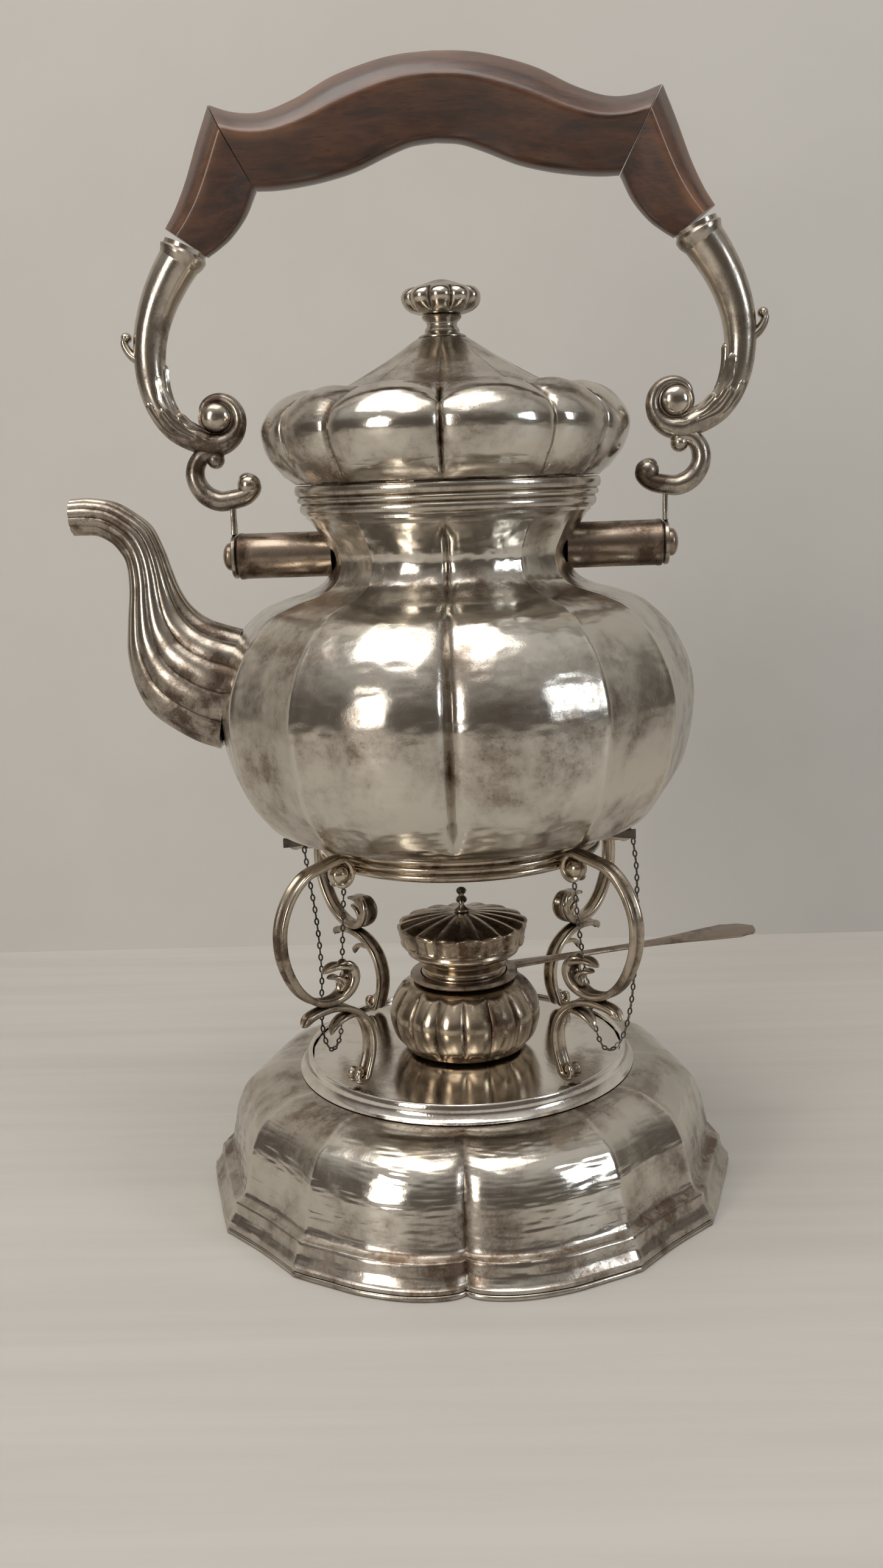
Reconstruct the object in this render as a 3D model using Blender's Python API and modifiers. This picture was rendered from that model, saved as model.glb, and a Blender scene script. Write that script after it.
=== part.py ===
"""Spirit kettle on a burner stand, with a bail handle and a lift-off lid.

Metres, +Z up. The kettle's front seam faces -Y and its spout points to -X.
The stand's axis lies a little to +X of the world's origin, so that the spout
and the burner's lever reach equally far from it. The foot rests on z = 0.
"""

import math

import bmesh
import bpy
import numpy as np
from mathutils import Matrix, Vector

# General values
GAP = 0.0003
OVERRUN = 0.004
MERGE = 0.00001
QUARTER_TURN = math.pi / 2
WALL = 0.0013
ROUND_STEPS = 32
SMALL_STEPS = 20
BOSS_STEPS = 16

# Lobes: seams in degrees from the front, the same pattern on kettle, lid and base
SEAM_ANGLES = (0.0, 36.0, 60.0, 90.0)
COLUMN_ANGLES = (0.0, 5.0, 13.0, 24.0, 36.0, 48.0, 60.0, 75.0, 90.0)
GROOVE_LOSS_SHARE = 0.040
GROOVE_SPAN_SHARE = 0.40
FRONT_SAG_SHARE = 0.002
PANEL_SAG_SHARE = 0.017
CONE_LOBE_SHARE = 0.7

# Base
BASE_RADIUS = 0.1020
BASE_HEIGHT = 0.0439
RIM_HEIGHT = 0.0022
RIM_WIDTH = 0.0050
BASE_PROFILE_SHARES = (
    (0.626, 1.000), (0.745, 0.965), (0.835, 0.840), (0.885, 0.640), (0.908, 0.420),
    (0.925, 0.260), (0.960, 0.215), (0.972, 0.110),
)
BASE_WALL_SHARES = ((0.626, 1.000), (0.745, 0.965), (0.835, 0.840), (0.908, 0.420), (0.935, 0.220))
BASE_LOBE_START_SHARE = 0.66

# Collar and plate
COLLAR_RADIUS = 0.0597
COLLAR_TOP_WIDTH = 0.0018
COLLAR_FLARE = 0.0030
COLLAR_HEIGHT = 0.0060
PLATE_THICKNESS = 0.0014
PLATE_DROP = 0.0016

# Stand ring
RING_RADIUS = 0.0530
RING_WIDTH = 0.0052
RING_HEIGHT = 0.0087
RING_TOP = 0.1392
RING_BEAD_SHARE = 0.16

# Legs, in the radial plane of each leg
LEG_ANGLES = (45.0, 135.0, 225.0, 315.0)
LEG_NAMES = ("back_right", "back_left", "front_left", "front_right")
LEG_WIDTH = 0.0048
LEG_THICKNESS = 0.0021
LEG_BALL_RADIUS = 0.0032
LEG_REACH = 0.0872
UPPER_SCROLL_HEIGHT = 0.0510
UPPER_VOLUTE_RADIUS = 0.0062
UPPER_SHARES = (
    (0.770, 0.985), (0.855, 0.945), (0.930, 0.830), (0.978, 0.660), (0.985, 0.480),
    (0.960, 0.310), (0.905, 0.150), (0.825, 0.045), (0.735, 0.022), (0.668, 0.075),
    (0.640, 0.170), (0.662, 0.250), (0.706, 0.255),
)
LOWER_SHARES = (
    (0.900, 0.880), (0.870, 0.965), (0.810, 1.000), (0.740, 1.000), (0.660, 0.930),
    (0.592, 0.780), (0.560, 0.570), (0.562, 0.360),
)
FOOT_VOLUTE_RADIUS = 0.0047
VOLUTE_CORE_SHARE = 0.40
UPPER_VOLUTE_SHARES = (0.62, 1.12)
UPPER_VOLUTE_ANGLES = (330.0, 90.0)
UPPER_VOLUTE_POINTS = 9
FOOT_VOLUTE_ANGLES = (180.0, 480.0)
FOOT_VOLUTE_POINTS = 11

# Kettle
BODY_RADIUS = 0.0885
BODY_BOTTOM = RING_TOP + 0.0004
BODY_HEIGHT = 0.1140
BODY_PROFILE_SHARES = (
    (0.563, 1.000), (0.523, 0.945), (0.491, 0.880), (0.518, 0.815), (0.590, 0.780),
    (0.695, 0.756), (0.805, 0.716), (0.920, 0.622), (0.992, 0.490), (0.998, 0.360),
    (0.955, 0.200), (0.862, 0.088), (0.750, 0.022), (0.550, 0.000),
)
BODY_WALL_SHARES = (
    (0.523, 0.945), (0.491, 0.880), (0.518, 0.815), (0.590, 0.780), (0.805, 0.716),
    (0.920, 0.622), (0.992, 0.490), (0.955, 0.200), (0.750, 0.022),
)
WALL_DROP_SHARE = 0.4
MOUTH_RADIUS = 0.0515
MOUTH_HEIGHT = 0.0128
MOULDING_WIDTH = 0.0030
MOULDING_HEIGHT = 0.0105
FOOT_RING_HEIGHT = 0.0036
FOOT_RING_WIDTH = 0.0034

# Lid
LID_RADIUS = 0.0660
LID_HEIGHT = 0.0488
LID_SEAT_GAP = 0.0005
LID_PROFILE_SHARES = (
    (0.140, 1.000), (0.300, 0.865), (0.530, 0.695), (0.650, 0.653), (0.780, 0.645),
    (0.915, 0.570), (0.998, 0.400), (0.975, 0.215), (0.900, 0.080), (0.828, 0.000),
)
LID_WALL_SHARES = (
    (0.140, 0.985), (0.530, 0.670), (0.780, 0.620), (0.990, 0.390), (0.900, 0.095),
)
LID_LOBE_START_SHARE = 0.16
LID_FLANGE_DEPTH = 0.0100
LID_FLANGE_CLEARANCE = 0.0010
STUD_RADIUS = 0.0020
NUT_RADIUS = 0.0042
NUT_HEIGHT = 0.0032
NUT_SIDES = 6
STUD_LENGTH = 0.0058

# Lid knob
KNOB_RADIUS = 0.0144
KNOB_HEIGHT = 0.0122
KNOB_LOBES = 10
KNOB_LOBE_SHARE = 0.10
KNOB_PROFILE_SHARES = (
    (0.000, 1.000), (0.260, 0.930), (0.560, 0.790), (0.820, 0.690), (0.970, 0.560),
    (1.000, 0.420), (0.930, 0.260), (0.740, 0.130), (0.520, 0.040), (0.000, 0.000),
)
STEM_HEIGHT = 0.0074
STEM_RADIUS = 0.0056
STEM_SHARES = (
    (0.000, 1.000), (1.220, 1.000), (1.180, 0.870), (1.000, 0.700), (0.980, 0.520),
    (1.180, 0.260), (1.520, 0.130), (1.520, 0.000),
)

# Spout: upper and lower edge points, as shares of its reach and of its rise
SPOUT_REACH = 0.1374
SPOUT_LOW = 0.1680
SPOUT_RISE = 0.0970
SPOUT_STATION_SHARES = (
    ((0.500, 0.470), (0.560, 0.010), 0.130), ((0.612, 0.512), (0.706, 0.065), 0.128),
    ((0.648, 0.531), (0.787, 0.136), 0.118), ((0.677, 0.557), (0.836, 0.205), 0.105),
    ((0.702, 0.593), (0.866, 0.305), 0.092), ((0.720, 0.634), (0.877, 0.412), 0.082),
    ((0.734, 0.680), (0.871, 0.531), 0.073), ((0.746, 0.732), (0.861, 0.649), 0.067),
    ((0.762, 0.804), (0.863, 0.747), 0.060), ((0.788, 0.886), (0.878, 0.794), 0.056),
    ((0.828, 0.936), (0.901, 0.831), 0.054), ((0.881, 0.981), (0.935, 0.856), 0.053),
    ((0.946, 1.000), (0.968, 0.859), 0.053), ((1.000, 0.999), (0.996, 0.860), 0.054),
)
SPOUT_RIBS = 12
SPOUT_RIB_SHARE = 0.075
SPOUT_POINTS_PER_RIB = 2
SPOUT_BORE_POINTS = 10
SPOUT_WALL = 0.0016

# Trunnion tubes and their screws
TRUNNION_RADIUS = 0.0082
TRUNNION_REACH = 0.0770
TRUNNION_Z = 0.2420
SCREW_RADIUS = 0.0019
SCREW_DEPTH = 0.0100
SCREW_HEAD_RADIUS = 0.0050
SCREW_HEAD_HEIGHT = 0.0034

# Handle
EYE_RADIUS = 0.0080
EYE_THICKNESS = 0.0018
EYE_STEM_WIDTH = 0.0050
HANDLE_RISE = 0.1680
GRIP_REACH = 0.0956
GRIP_HALF_WIDTH = 0.0160
GRIP_END_HALF_WIDTH = 0.0092
GRIP_RIDGE_SHARE = 0.38
GRIP_EDGE_SHARE = 0.30
GRIP_CREASE_SHARE = 0.72
GRIP_TOP_SHARES = (
    (0.000, 1.000), (0.110, 0.997), (0.220, 0.986), (0.366, 0.960), (0.500, 0.922),
    (0.622, 0.899), (0.725, 0.901), (0.813, 0.917),
)
GRIP_UNDER_SHARES = (
    (0.000, 0.827), (0.088, 0.822), (0.175, 0.805), (0.290, 0.778), (0.400, 0.762),
    (0.500, 0.753), (0.590, 0.748), (0.659, 0.748),
)
GRIP_END_TOP_SHARES = (
    (0.813, 0.917), (0.862, 0.850), (0.912, 0.775), (0.958, 0.720), (1.000, 0.682),
)
GRIP_END_UNDER_SHARES = (
    (0.659, 0.748), (0.700, 0.700), (0.757, 0.660), (0.806, 0.638), (0.850, 0.622),
)
TENON_RADIUS = 0.0050
TENON_LENGTH = 0.0090
ARM_SHARES = (
    (0.950, 0.625), (1.000, 0.583), (1.050, 0.530), (1.085, 0.470), (1.096, 0.410),
    (1.085, 0.352), (1.050, 0.303), (0.995, 0.268), (0.925, 0.252),
)
ARM_RADIUS = 0.0072
ARM_RADIUS_SHARES = (1.10, 0.98, 0.90, 0.86, 0.84, 0.82, 0.76, 0.66, 0.58)
ARM_VOLUTE_SHARES = (0.858, 0.295)
ARM_VOLUTE_RADIUS = 0.0094
ARM_VOLUTE_HALF_WIDTH = 0.0050
ARM_VOLUTE_PROFILE_SHARES = (
    (0.000, 1.000), (0.350, 0.900), (0.500, 0.550), (0.750, 0.880), (1.000, 0.500),
)
THUMB_SHARES = ((1.125, 0.415), (1.165, 0.432), (1.192, 0.455), (1.176, 0.474))
THUMB_RADIUS = 0.0017
BRACKET_SHARES = (
    (0.866, 0.204), (0.868, 0.219), (0.889, 0.222), (0.924, 0.215), (0.950, 0.192),
    (0.950, 0.163), (0.920, 0.135), (0.868, 0.120), (0.815, 0.122), (0.763, 0.130),
    (0.736, 0.147), (0.758, 0.162), (0.784, 0.154),
)
BRACKET_RADIUS = 0.0026

# Hinge lugs and pins
PIN_X = 0.0615
PIN_Z = 0.1355
PIN_RADIUS = 0.0013
PIN_TAIL = 0.0020
PIN_HEAD_LENGTH = 0.0086
PIN_HEAD_THICKNESS = 0.0020
PIN_HEAD_HEIGHT = 0.0034
KNUCKLE_RADIUS = 0.0031
KNUCKLE_WIDTH = 0.0060
EAR_THICKNESS = 0.0030
LUG_WEB_DEPTH = 0.0060

# Chains
LINK_RADIUS = 0.00135
LINK_WIRE = 0.00050
LINK_PITCH = 0.0056
LINK_BITE = 0.00012
LINK_STEPS = 4
LINK_WIRE_STEPS = 3
CHAIN_HANG = 0.0034
CHAIN_EDGE_SHARES = {"left": 0.55, "right": 0.97}
CHAIN_ROUTES = {
    "left": (
        (-0.0565, -0.0085, 0.1200), (-0.0545, -0.0105, 0.1050), (-0.0535, -0.0120, 0.0860),
        (-0.0542, -0.0135, 0.0700), (-0.0530, -0.0165, 0.0610), (-0.0500, -0.0200, 0.0580),
        (-0.0465, -0.0235, 0.0640), (-0.0450, -0.0260, 0.0750), (-0.0434, -0.0275, 0.1000),
    ),
    "right": (
        (0.0660, -0.0085, 0.1200), (0.0654, -0.0105, 0.1000), (0.0640, -0.0130, 0.0800),
        (0.0620, -0.0160, 0.0680), (0.0588, -0.0200, 0.0600), (0.0548, -0.0235, 0.0572),
        (0.0510, -0.0262, 0.0600), (0.0480, -0.0278, 0.0700), (0.0450, -0.0282, 0.0900),
        (0.0428, -0.0284, 0.1080),
    ),
}
STAPLE_RADIUS = 0.0018
STAPLE_DEPTH_SHARE = 2.6
STAPLE_WIRE = 0.0006
STAPLE_ANGLE = 34.4
STAPLE_POINTS = 9

# Burner
BOWL_RADIUS = 0.0290
BOWL_HEIGHT = 0.0280
BOWL_LOBES = 16
BOWL_LOBE_SHARE = 0.045
BOWL_STEPS = 32
BOWL_PROFILE_SHARES = (
    (0.480, 1.000), (0.640, 0.985), (0.860, 0.860), (0.985, 0.640), (1.000, 0.450),
    (0.930, 0.210), (0.800, 0.050), (0.690, 0.000),
)
BOWL_WALL_SHARES = ((0.860, 0.860), (1.000, 0.500), (0.800, 0.050))
BOWL_WALL = 0.0012
NECK_RADIUS = 0.0165
NECK_HEIGHT = 0.0130
NECK_PROFILE_SHARES = (
    (0.800, 1.300), (0.800, 1.000), (1.260, 1.000), (1.320, 0.880), (1.240, 0.700),
    (0.900, 0.640), (0.840, 0.450), (0.980, 0.340), (0.920, 0.240), (1.000, 0.160),
    (1.000, 0.000),
)
WICK_TUBE_RADIUS = 0.0048
WICK_TUBE_RISE = 0.0050
WICK_RADIUS = 0.0036
WICK_RISE = 0.0012
CAP_RADIUS = 0.0251
CAP_LOW_SHARE = 0.94
CAP_BAND_HEIGHT = 0.0090
CAP_DOME_HEIGHT = 0.0032
CAP_LOBES = 16
CAP_LOBE_SHARE = 0.05
FINIAL_HEIGHT = 0.0092
FINIAL_RADIUS = 0.0030
FINIAL_SHARES = (
    (0.000, 1.000), (0.450, 0.960), (0.700, 0.860), (0.560, 0.740), (0.330, 0.640),
    (0.760, 0.480), (0.620, 0.330), (0.300, 0.240), (1.000, 0.060), (1.000, 0.000),
    (0.000, 0.000),
)
LEVER_ANGLE = 22.0
LEVER_RING_WIDTH = 0.0038
LEVER_REACH = 0.1290
LEVER_THICKNESS = 0.0020
LEVER_HALF_WIDTH = 0.0088
LEVER_SHARES = (
    (0.000, 0.50), (0.080, 0.42), (0.220, 0.30), (0.420, 0.27), (0.620, 0.42),
    (0.800, 0.82), (0.900, 1.00), (0.960, 0.82), (1.000, 0.00),
)

# Shares that shape the small pieces
COLLAR_BEND_SHARE = 0.3
LOBE_START_SHARE, LOBE_RISE_SHARE, LOBE_FADE_SHARE = 0.01, 0.12, 0.6
LID_LOBE_SHARES = (0.5, 0.75)
LID_FOOT_SHARE = 0.12
KNOB_LOBE_SHARES = (0.5, 0.8)
MOULDING_STEP_SHARE, MOULDING_BULGE_SHARE, MOULDING_CREST_SHARE = 0.22, 0.2, 0.4
TUBE_BEVEL_SHARE = 0.06
SCREW_RIM_SHARE = 0.25
SCREW_DOME_ANGLES = (25, 50, 75, 90)
EYE_POINTS = 21
KNUCKLE_STEPS = 18
FORK_WEB_SHARE, FORK_DROP_SHARE = 1.5, 0.1
KNUCKLE_WEB_SHARE, KNUCKLE_SHIFT_SHARE = 1.3, 0.35
PIN_HEAD_SHARES = (
    (1.0, 1.0), (0.0, 0.8), (-1.0, 0.45), (-1.0, -0.45), (0.0, -0.8), (1.0, -1.0),
)
CHAIN_STEPS = 12
FLUTE_RISE_SHARE, FLUTE_FADE_SHARE = 0.2, 0.88
BOWL_SIDE_SHARE = 1.5
WICK_TIP_SHARE = 0.8
WICK_STEPS = 14
PLEAT_SHARES = (0.3, 0.9)
CAP_CROWN_SHARES = ((0.3, 0.15), (0.8, 1.0))

# Where the stand's axis lies
AXIS_X = (SPOUT_REACH - LEVER_REACH * math.cos(math.radians(LEVER_ANGLE))) / 2

# Heights that follow from the values above
SHELL_BOTTOM = RIM_HEIGHT + GAP
COLLAR_BOTTOM = SHELL_BOTTOM + BASE_HEIGHT + GAP
COLLAR_TOP = COLLAR_BOTTOM + COLLAR_HEIGHT
PLATE_TOP = COLLAR_TOP - PLATE_DROP
RING_BOTTOM = RING_TOP - RING_HEIGHT
MOUTH_BOTTOM = BODY_BOTTOM + BODY_HEIGHT
MOUTH_TOP = MOUTH_BOTTOM + MOUTH_HEIGHT
LID_BOTTOM = MOUTH_TOP + LID_SEAT_GAP
LID_TOP = LID_BOTTOM + LID_HEIGHT
BOWL_BOTTOM = PLATE_TOP + GAP
NECK_BOTTOM = BOWL_BOTTOM + BOWL_HEIGHT + GAP
NECK_TOP = NECK_BOTTOM + NECK_HEIGHT
CAP_BOTTOM = NECK_TOP + GAP
CAP_TOP = CAP_BOTTOM + CAP_BAND_HEIGHT + CAP_DOME_HEIGHT

PART_NAME = "spirit_kettle"


def clear_scene():
    """Remove every object that the scene holds."""
    for obj in list(bpy.data.objects):
        bpy.data.objects.remove(obj, do_unlink=True)


def new_collection(name):
    """A collection linked to the scene."""
    group = bpy.data.collections.new(name)
    bpy.context.scene.collection.children.link(group)
    return group


def new_material(name, colour, roughness, metallic):
    """A Principled material of one colour."""
    material = bpy.data.materials.new(name)
    material.use_nodes = True
    shader = material.node_tree.nodes["Principled BSDF"]
    shader.inputs["Base Color"].default_value = (*colour, 1.0)
    shader.inputs["Roughness"].default_value = roughness
    shader.inputs["Metallic"].default_value = metallic
    return material


clear_scene()
PARTS = new_collection(PART_NAME)
CUTTERS = new_collection("cutters")
SILVER = new_material("silver", (0.62, 0.60, 0.56), 0.24, 1.0)
GILT = new_material("worn_gilt", (0.50, 0.42, 0.30), 0.30, 1.0)
DARK_SILVER = new_material("tarnished_silver", (0.34, 0.29, 0.25), 0.38, 1.0)
IRON = new_material("black_steel", (0.06, 0.055, 0.05), 0.5, 1.0)
COPPER = new_material("coppery_brass", (0.50, 0.33, 0.20), 0.32, 1.0)
COTTON = new_material("wick_cotton", (0.80, 0.76, 0.66), 0.9, 0.0)
WOOD = new_material("dark_wood", (0.20, 0.095, 0.05), 0.35, 0.0)


def new_empty(name, location, parent=None):
    """An empty that carries a moving group."""
    empty = bpy.data.objects.new(name, None)
    empty.location = location
    empty.parent = parent
    PARTS.objects.link(empty)
    return empty


ORIGIN = new_empty("stand_axis", (AXIS_X, 0, 0))
HANDLE_AXIS = new_empty("handle_axis", (0, 0, TRUNNION_Z), ORIGIN)
LEFT_PIN_AXIS = new_empty("left_pin_axis", (-PIN_X, 0, PIN_Z), ORIGIN)
RIGHT_PIN_AXIS = new_empty("right_pin_axis", (PIN_X, 0, PIN_Z), ORIGIN)


def place(obj, material, parent=ORIGIN, location=(0, 0, 0), rotation=(0, 0, 0), group=PARTS):
    """Give an object its material, parent and place."""
    obj.data.materials.clear()
    obj.data.materials.append(material)
    obj.parent = parent
    obj.location = location
    obj.rotation_euler = rotation
    if obj.name not in group.objects:
        group.objects.link(obj)
    return obj


def smooth_shade(mesh, angle=40.0):
    """Smooth shading that keeps edges sharper than an angle."""
    mesh.shade_smooth()
    mesh.set_sharp_from_angle(angle=math.radians(angle))


def evaluated_mesh(obj):
    """The mesh that an object shows, with its loose seams welded."""
    bpy.context.view_layer.update()
    graph = bpy.context.evaluated_depsgraph_get()
    mesh = bpy.data.meshes.new_from_object(obj.evaluated_get(graph))
    shape = bmesh.new()
    shape.from_mesh(mesh)
    bmesh.ops.remove_doubles(shape, verts=shape.verts, dist=MERGE)
    shape.to_mesh(mesh)
    shape.free()
    return mesh


def as_mesh_object(obj):
    """Turn a curve, or an object with modifiers, into a mesh object with its place in the mesh."""
    name = obj.name
    mesh = evaluated_mesh(obj)
    mesh.transform(obj.matrix_world)
    bpy.data.objects.remove(obj, do_unlink=True)
    result = bpy.data.objects.new(name, mesh)
    PARTS.objects.link(result)
    return result


def joined(obj, others, operation="UNION"):
    """Union or cut an object with others, and apply it."""
    for other in others:
        modifier = obj.modifiers.new(operation.lower(), "BOOLEAN")
        modifier.operation = operation
        modifier.solver = "EXACT"
        modifier.object = other
    result = as_mesh_object(obj)
    for other in others:
        bpy.data.objects.remove(other, do_unlink=True)
    return result


def cut_by(obj, cutter):
    """Cut an object by a cutter that stays in the cutters' collection."""
    modifier = obj.modifiers.new("cut", "BOOLEAN")
    modifier.operation = "DIFFERENCE"
    modifier.solver = "EXACT"
    modifier.object = cutter


def as_cutter(obj):
    """Hide an object that only cuts others."""
    for group in list(obj.users_collection):
        group.objects.unlink(obj)
    CUTTERS.objects.link(obj)
    obj.hide_render = True
    obj.display_type = "WIRE"
    return obj


def lathe(name, profile, steps=ROUND_STEPS):
    """A turned piece: a closed profile in the XZ plane with a Screw modifier.

    The profile runs down its outer side and returns up its inner side or the axis.
    """
    mesh = bpy.data.meshes.new(name)
    pairs = [(i, (i + 1) % len(profile)) for i in range(len(profile))]
    edges = [(i, j) for i, j in pairs if profile[i][0] > 0 or profile[j][0] > 0]
    mesh.from_pydata([(r, 0, z) for r, z in profile], edges, [])
    obj = bpy.data.objects.new(name, mesh)
    PARTS.objects.link(obj)
    screw = obj.modifiers.new("turn", "SCREW")
    screw.steps = steps
    screw.render_steps = steps
    screw.use_merge_vertices = True
    screw.merge_threshold = MERGE
    screw.use_smooth_shade = True
    return obj


def scaled(shares, width, height, base=0.0):
    """Points from shares of a width and a height above a base."""
    return [(x * width, base + z * height) for x, z in shares]


def smooth_path(points, per_span):
    """A Catmull-Rom curve through points, with its ends kept."""
    knots = np.array(points, dtype=float)
    ends = np.vstack([2 * knots[0] - knots[1], knots, 2 * knots[-1] - knots[-2]])
    curve = []
    for i in range(1, len(ends) - 2):
        a, b, c, d = ends[i - 1 : i + 3]
        for t in np.arange(per_span) / per_span:
            curve.append(
                0.5 * (2 * b + (c - a) * t + (2 * a - 5 * b + 4 * c - d) * t * t
                       + (3 * b - a - 3 * c + d) * t ** 3)
            )
    curve.append(knots[-1])
    return np.array(curve)


def spiral(centre, start, turn, first, last, count):
    """Points that wind round a centre, their radius falling evenly (angles in degrees)."""
    share = np.linspace(0, 1, count)
    angle = np.radians(start + turn * share)
    radius = first + (last - first) * share
    return np.stack([centre[0] + radius * np.cos(angle), centre[1] + radius * np.sin(angle)], 1)


def lobe_loss(angle):
    """Share of the radius lost at an angle in degrees from the front seam.

    The front and back seams are grooves, the others are ridges, and the panels
    between them sag towards their chords.
    """
    folded = abs(angle) % 180.0
    folded = min(folded, 180.0 - folded)
    upper = next(i for i, seam in enumerate(SEAM_ANGLES) if folded <= seam + 1e-6)
    if upper == 0:
        return GROOVE_LOSS_SHARE
    low, high = SEAM_ANGLES[upper - 1], SEAM_ANGLES[upper]
    t = (folded - low) / (high - low)
    if upper > 1:
        return PANEL_SAG_SHARE * 4 * t * (1 - t)
    groove = GROOVE_LOSS_SHARE * max(0.0, 1 - t / GROOVE_SPAN_SHARE) ** 2
    return groove + FRONT_SAG_SHARE * math.sin(math.pi * t) ** 2


def column_angle(angle):
    """The angle in degrees where a turned mesh's evenly set column goes."""
    step = 90.0 / (len(COLUMN_ANGLES) - 1)
    evens = [step * i for i in range(len(COLUMN_ANGLES))]
    folded = abs(angle)
    if folded > 90.0:
        return math.copysign(180.0 - np.interp(180.0 - folded, evens, COLUMN_ANGLES), angle)
    return math.copysign(np.interp(folded, evens, COLUMN_ANGLES), angle)


def shape_lobes(mesh, strength):
    """Set the columns of a turned mesh by the seams, and draw each point in by the lobe rule."""
    for vertex in mesh.vertices:
        x, y, z = vertex.co
        radius = math.hypot(x, y)
        angle = column_angle(math.degrees(math.atan2(x, -y)))
        radius *= 1 - lobe_loss(angle) * strength(radius, z)
        turn = math.radians(angle)
        vertex.co = (radius * math.sin(turn), -radius * math.cos(turn), z)


def shape_flutes(mesh, count, share, strength):
    """Draw a turned mesh into even convex flutes."""
    for vertex in mesh.vertices:
        x, y, z = vertex.co
        wave = abs(math.sin(count * math.atan2(y, x) / 2))
        loss = share * (1 - wave) * strength(math.hypot(x, y), z)
        vertex.co = (x * (1 - loss), y * (1 - loss), z)


def ease(value, low, high):
    """Rise smoothly from 0 at low to 1 at high."""
    t = min(1.0, max(0.0, (value - low) / (high - low)))
    return t * t * (3 - 2 * t)


def lobed(name, profile, strength):
    """A turned piece whose outline follows the lobes."""
    obj = as_mesh_object(lathe(name, profile, 4 * (len(COLUMN_ANGLES) - 1)))
    shape_lobes(obj.data, strength)
    smooth_shade(obj.data)
    return obj


def loft(name, rings):
    """A closed solid through rings of equally many points, each ring in order."""
    count = len(rings[0])
    points = [tuple(point) for ring in rings for point in ring]
    faces = []
    for i in range(len(rings) - 1):
        for j in range(count):
            k = (j + 1) % count
            faces.append((i * count + j, i * count + k, (i + 1) * count + k, (i + 1) * count + j))
    faces.append(tuple(reversed(range(count))))
    faces.append(tuple((len(rings) - 1) * count + j for j in range(count)))
    mesh = bpy.data.meshes.new(name)
    mesh.from_pydata(points, [], faces)
    shape = bmesh.new()
    shape.from_mesh(mesh)
    bmesh.ops.recalc_face_normals(shape, faces=shape.faces)
    shape.to_mesh(mesh)
    shape.free()
    smooth_shade(mesh)
    obj = bpy.data.objects.new(name, mesh)
    PARTS.objects.link(obj)
    return obj


def tube(name, points, radius, shares=None, resolution=2):
    """A round rod along points, thinner or thicker by shares of its radius."""
    curve = bpy.data.curves.new(name, "CURVE")
    curve.dimensions = "3D"
    curve.bevel_depth = radius
    curve.bevel_resolution = resolution
    curve.use_fill_caps = True
    spline = curve.splines.new("POLY")
    spline.points.add(len(points) - 1)
    for i, point in enumerate(points):
        spline.points[i].co = (*point, 1.0)
        spline.points[i].radius = 1.0 if shares is None else shares[i]
    obj = bpy.data.objects.new(name, curve)
    PARTS.objects.link(obj)
    return obj


def plate(name, outlines, thickness):
    """A flat piece: outlines in its own XY plane, filled, and half its thickness each way."""
    curve = bpy.data.curves.new(name, "CURVE")
    curve.dimensions = "2D"
    curve.fill_mode = "BOTH"
    curve.extrude = thickness / 2
    for outline in outlines:
        spline = curve.splines.new("POLY")
        spline.points.add(len(outline) - 1)
        for i, point in enumerate(outline):
            spline.points[i].co = (point[0], point[1], 0, 1)
        spline.use_cyclic_u = True
    obj = bpy.data.objects.new(name, curve)
    PARTS.objects.link(obj)
    return obj


def cylinder(name, radius, depth, vertices=ROUND_STEPS):
    """A round bar along its own Z, centred."""
    bpy.ops.mesh.primitive_cylinder_add(vertices=vertices, radius=radius, depth=depth)
    return own_primitive(name)


def sphere(name, radius, segments=8, rings=6):
    """A ball, centred."""
    bpy.ops.mesh.primitive_uv_sphere_add(segments=segments, ring_count=rings, radius=radius)
    return own_primitive(name)


def block(name, size):
    """A box of a size, centred, with its scale applied."""
    bpy.ops.mesh.primitive_cube_add(size=1)
    obj = own_primitive(name)
    obj.data.transform(Matrix.Diagonal((*size, 1)))
    return obj


def own_primitive(name):
    """Rename the new primitive and move it to the parts' collection."""
    obj = bpy.context.active_object
    obj.name = name
    for group in list(obj.users_collection):
        group.objects.unlink(obj)
    PARTS.objects.link(obj)
    return obj


def circle_points(radius, count, centre=(0, 0), start=0.0, turn=360.0, ends=False):
    """Points on an arc in a plane (angles in degrees)."""
    steps = count - 1 if ends else count
    angles = [math.radians(start + turn * i / steps) for i in range(count)]
    return [(centre[0] + radius * math.cos(a), centre[1] + radius * math.sin(a)) for a in angles]


def strap_outline(path, half):
    """The outline of a strap of even thickness that follows a path, with blunt ends."""
    path = np.array(path)
    ahead = np.gradient(path, axis=0)
    ahead /= np.linalg.norm(ahead, axis=1)[:, None]
    side = np.stack([-ahead[:, 1], ahead[:, 0]], 1) * half
    return np.vstack([path + side, (path - side)[::-1]])


# The base


def base_strength(radius, height):
    """The lobes start just outside the collar."""
    start = BASE_LOBE_START_SHARE * BASE_RADIUS
    return ease(radius, start - COLLAR_FLARE, start + COLLAR_FLARE * 2)


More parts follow.
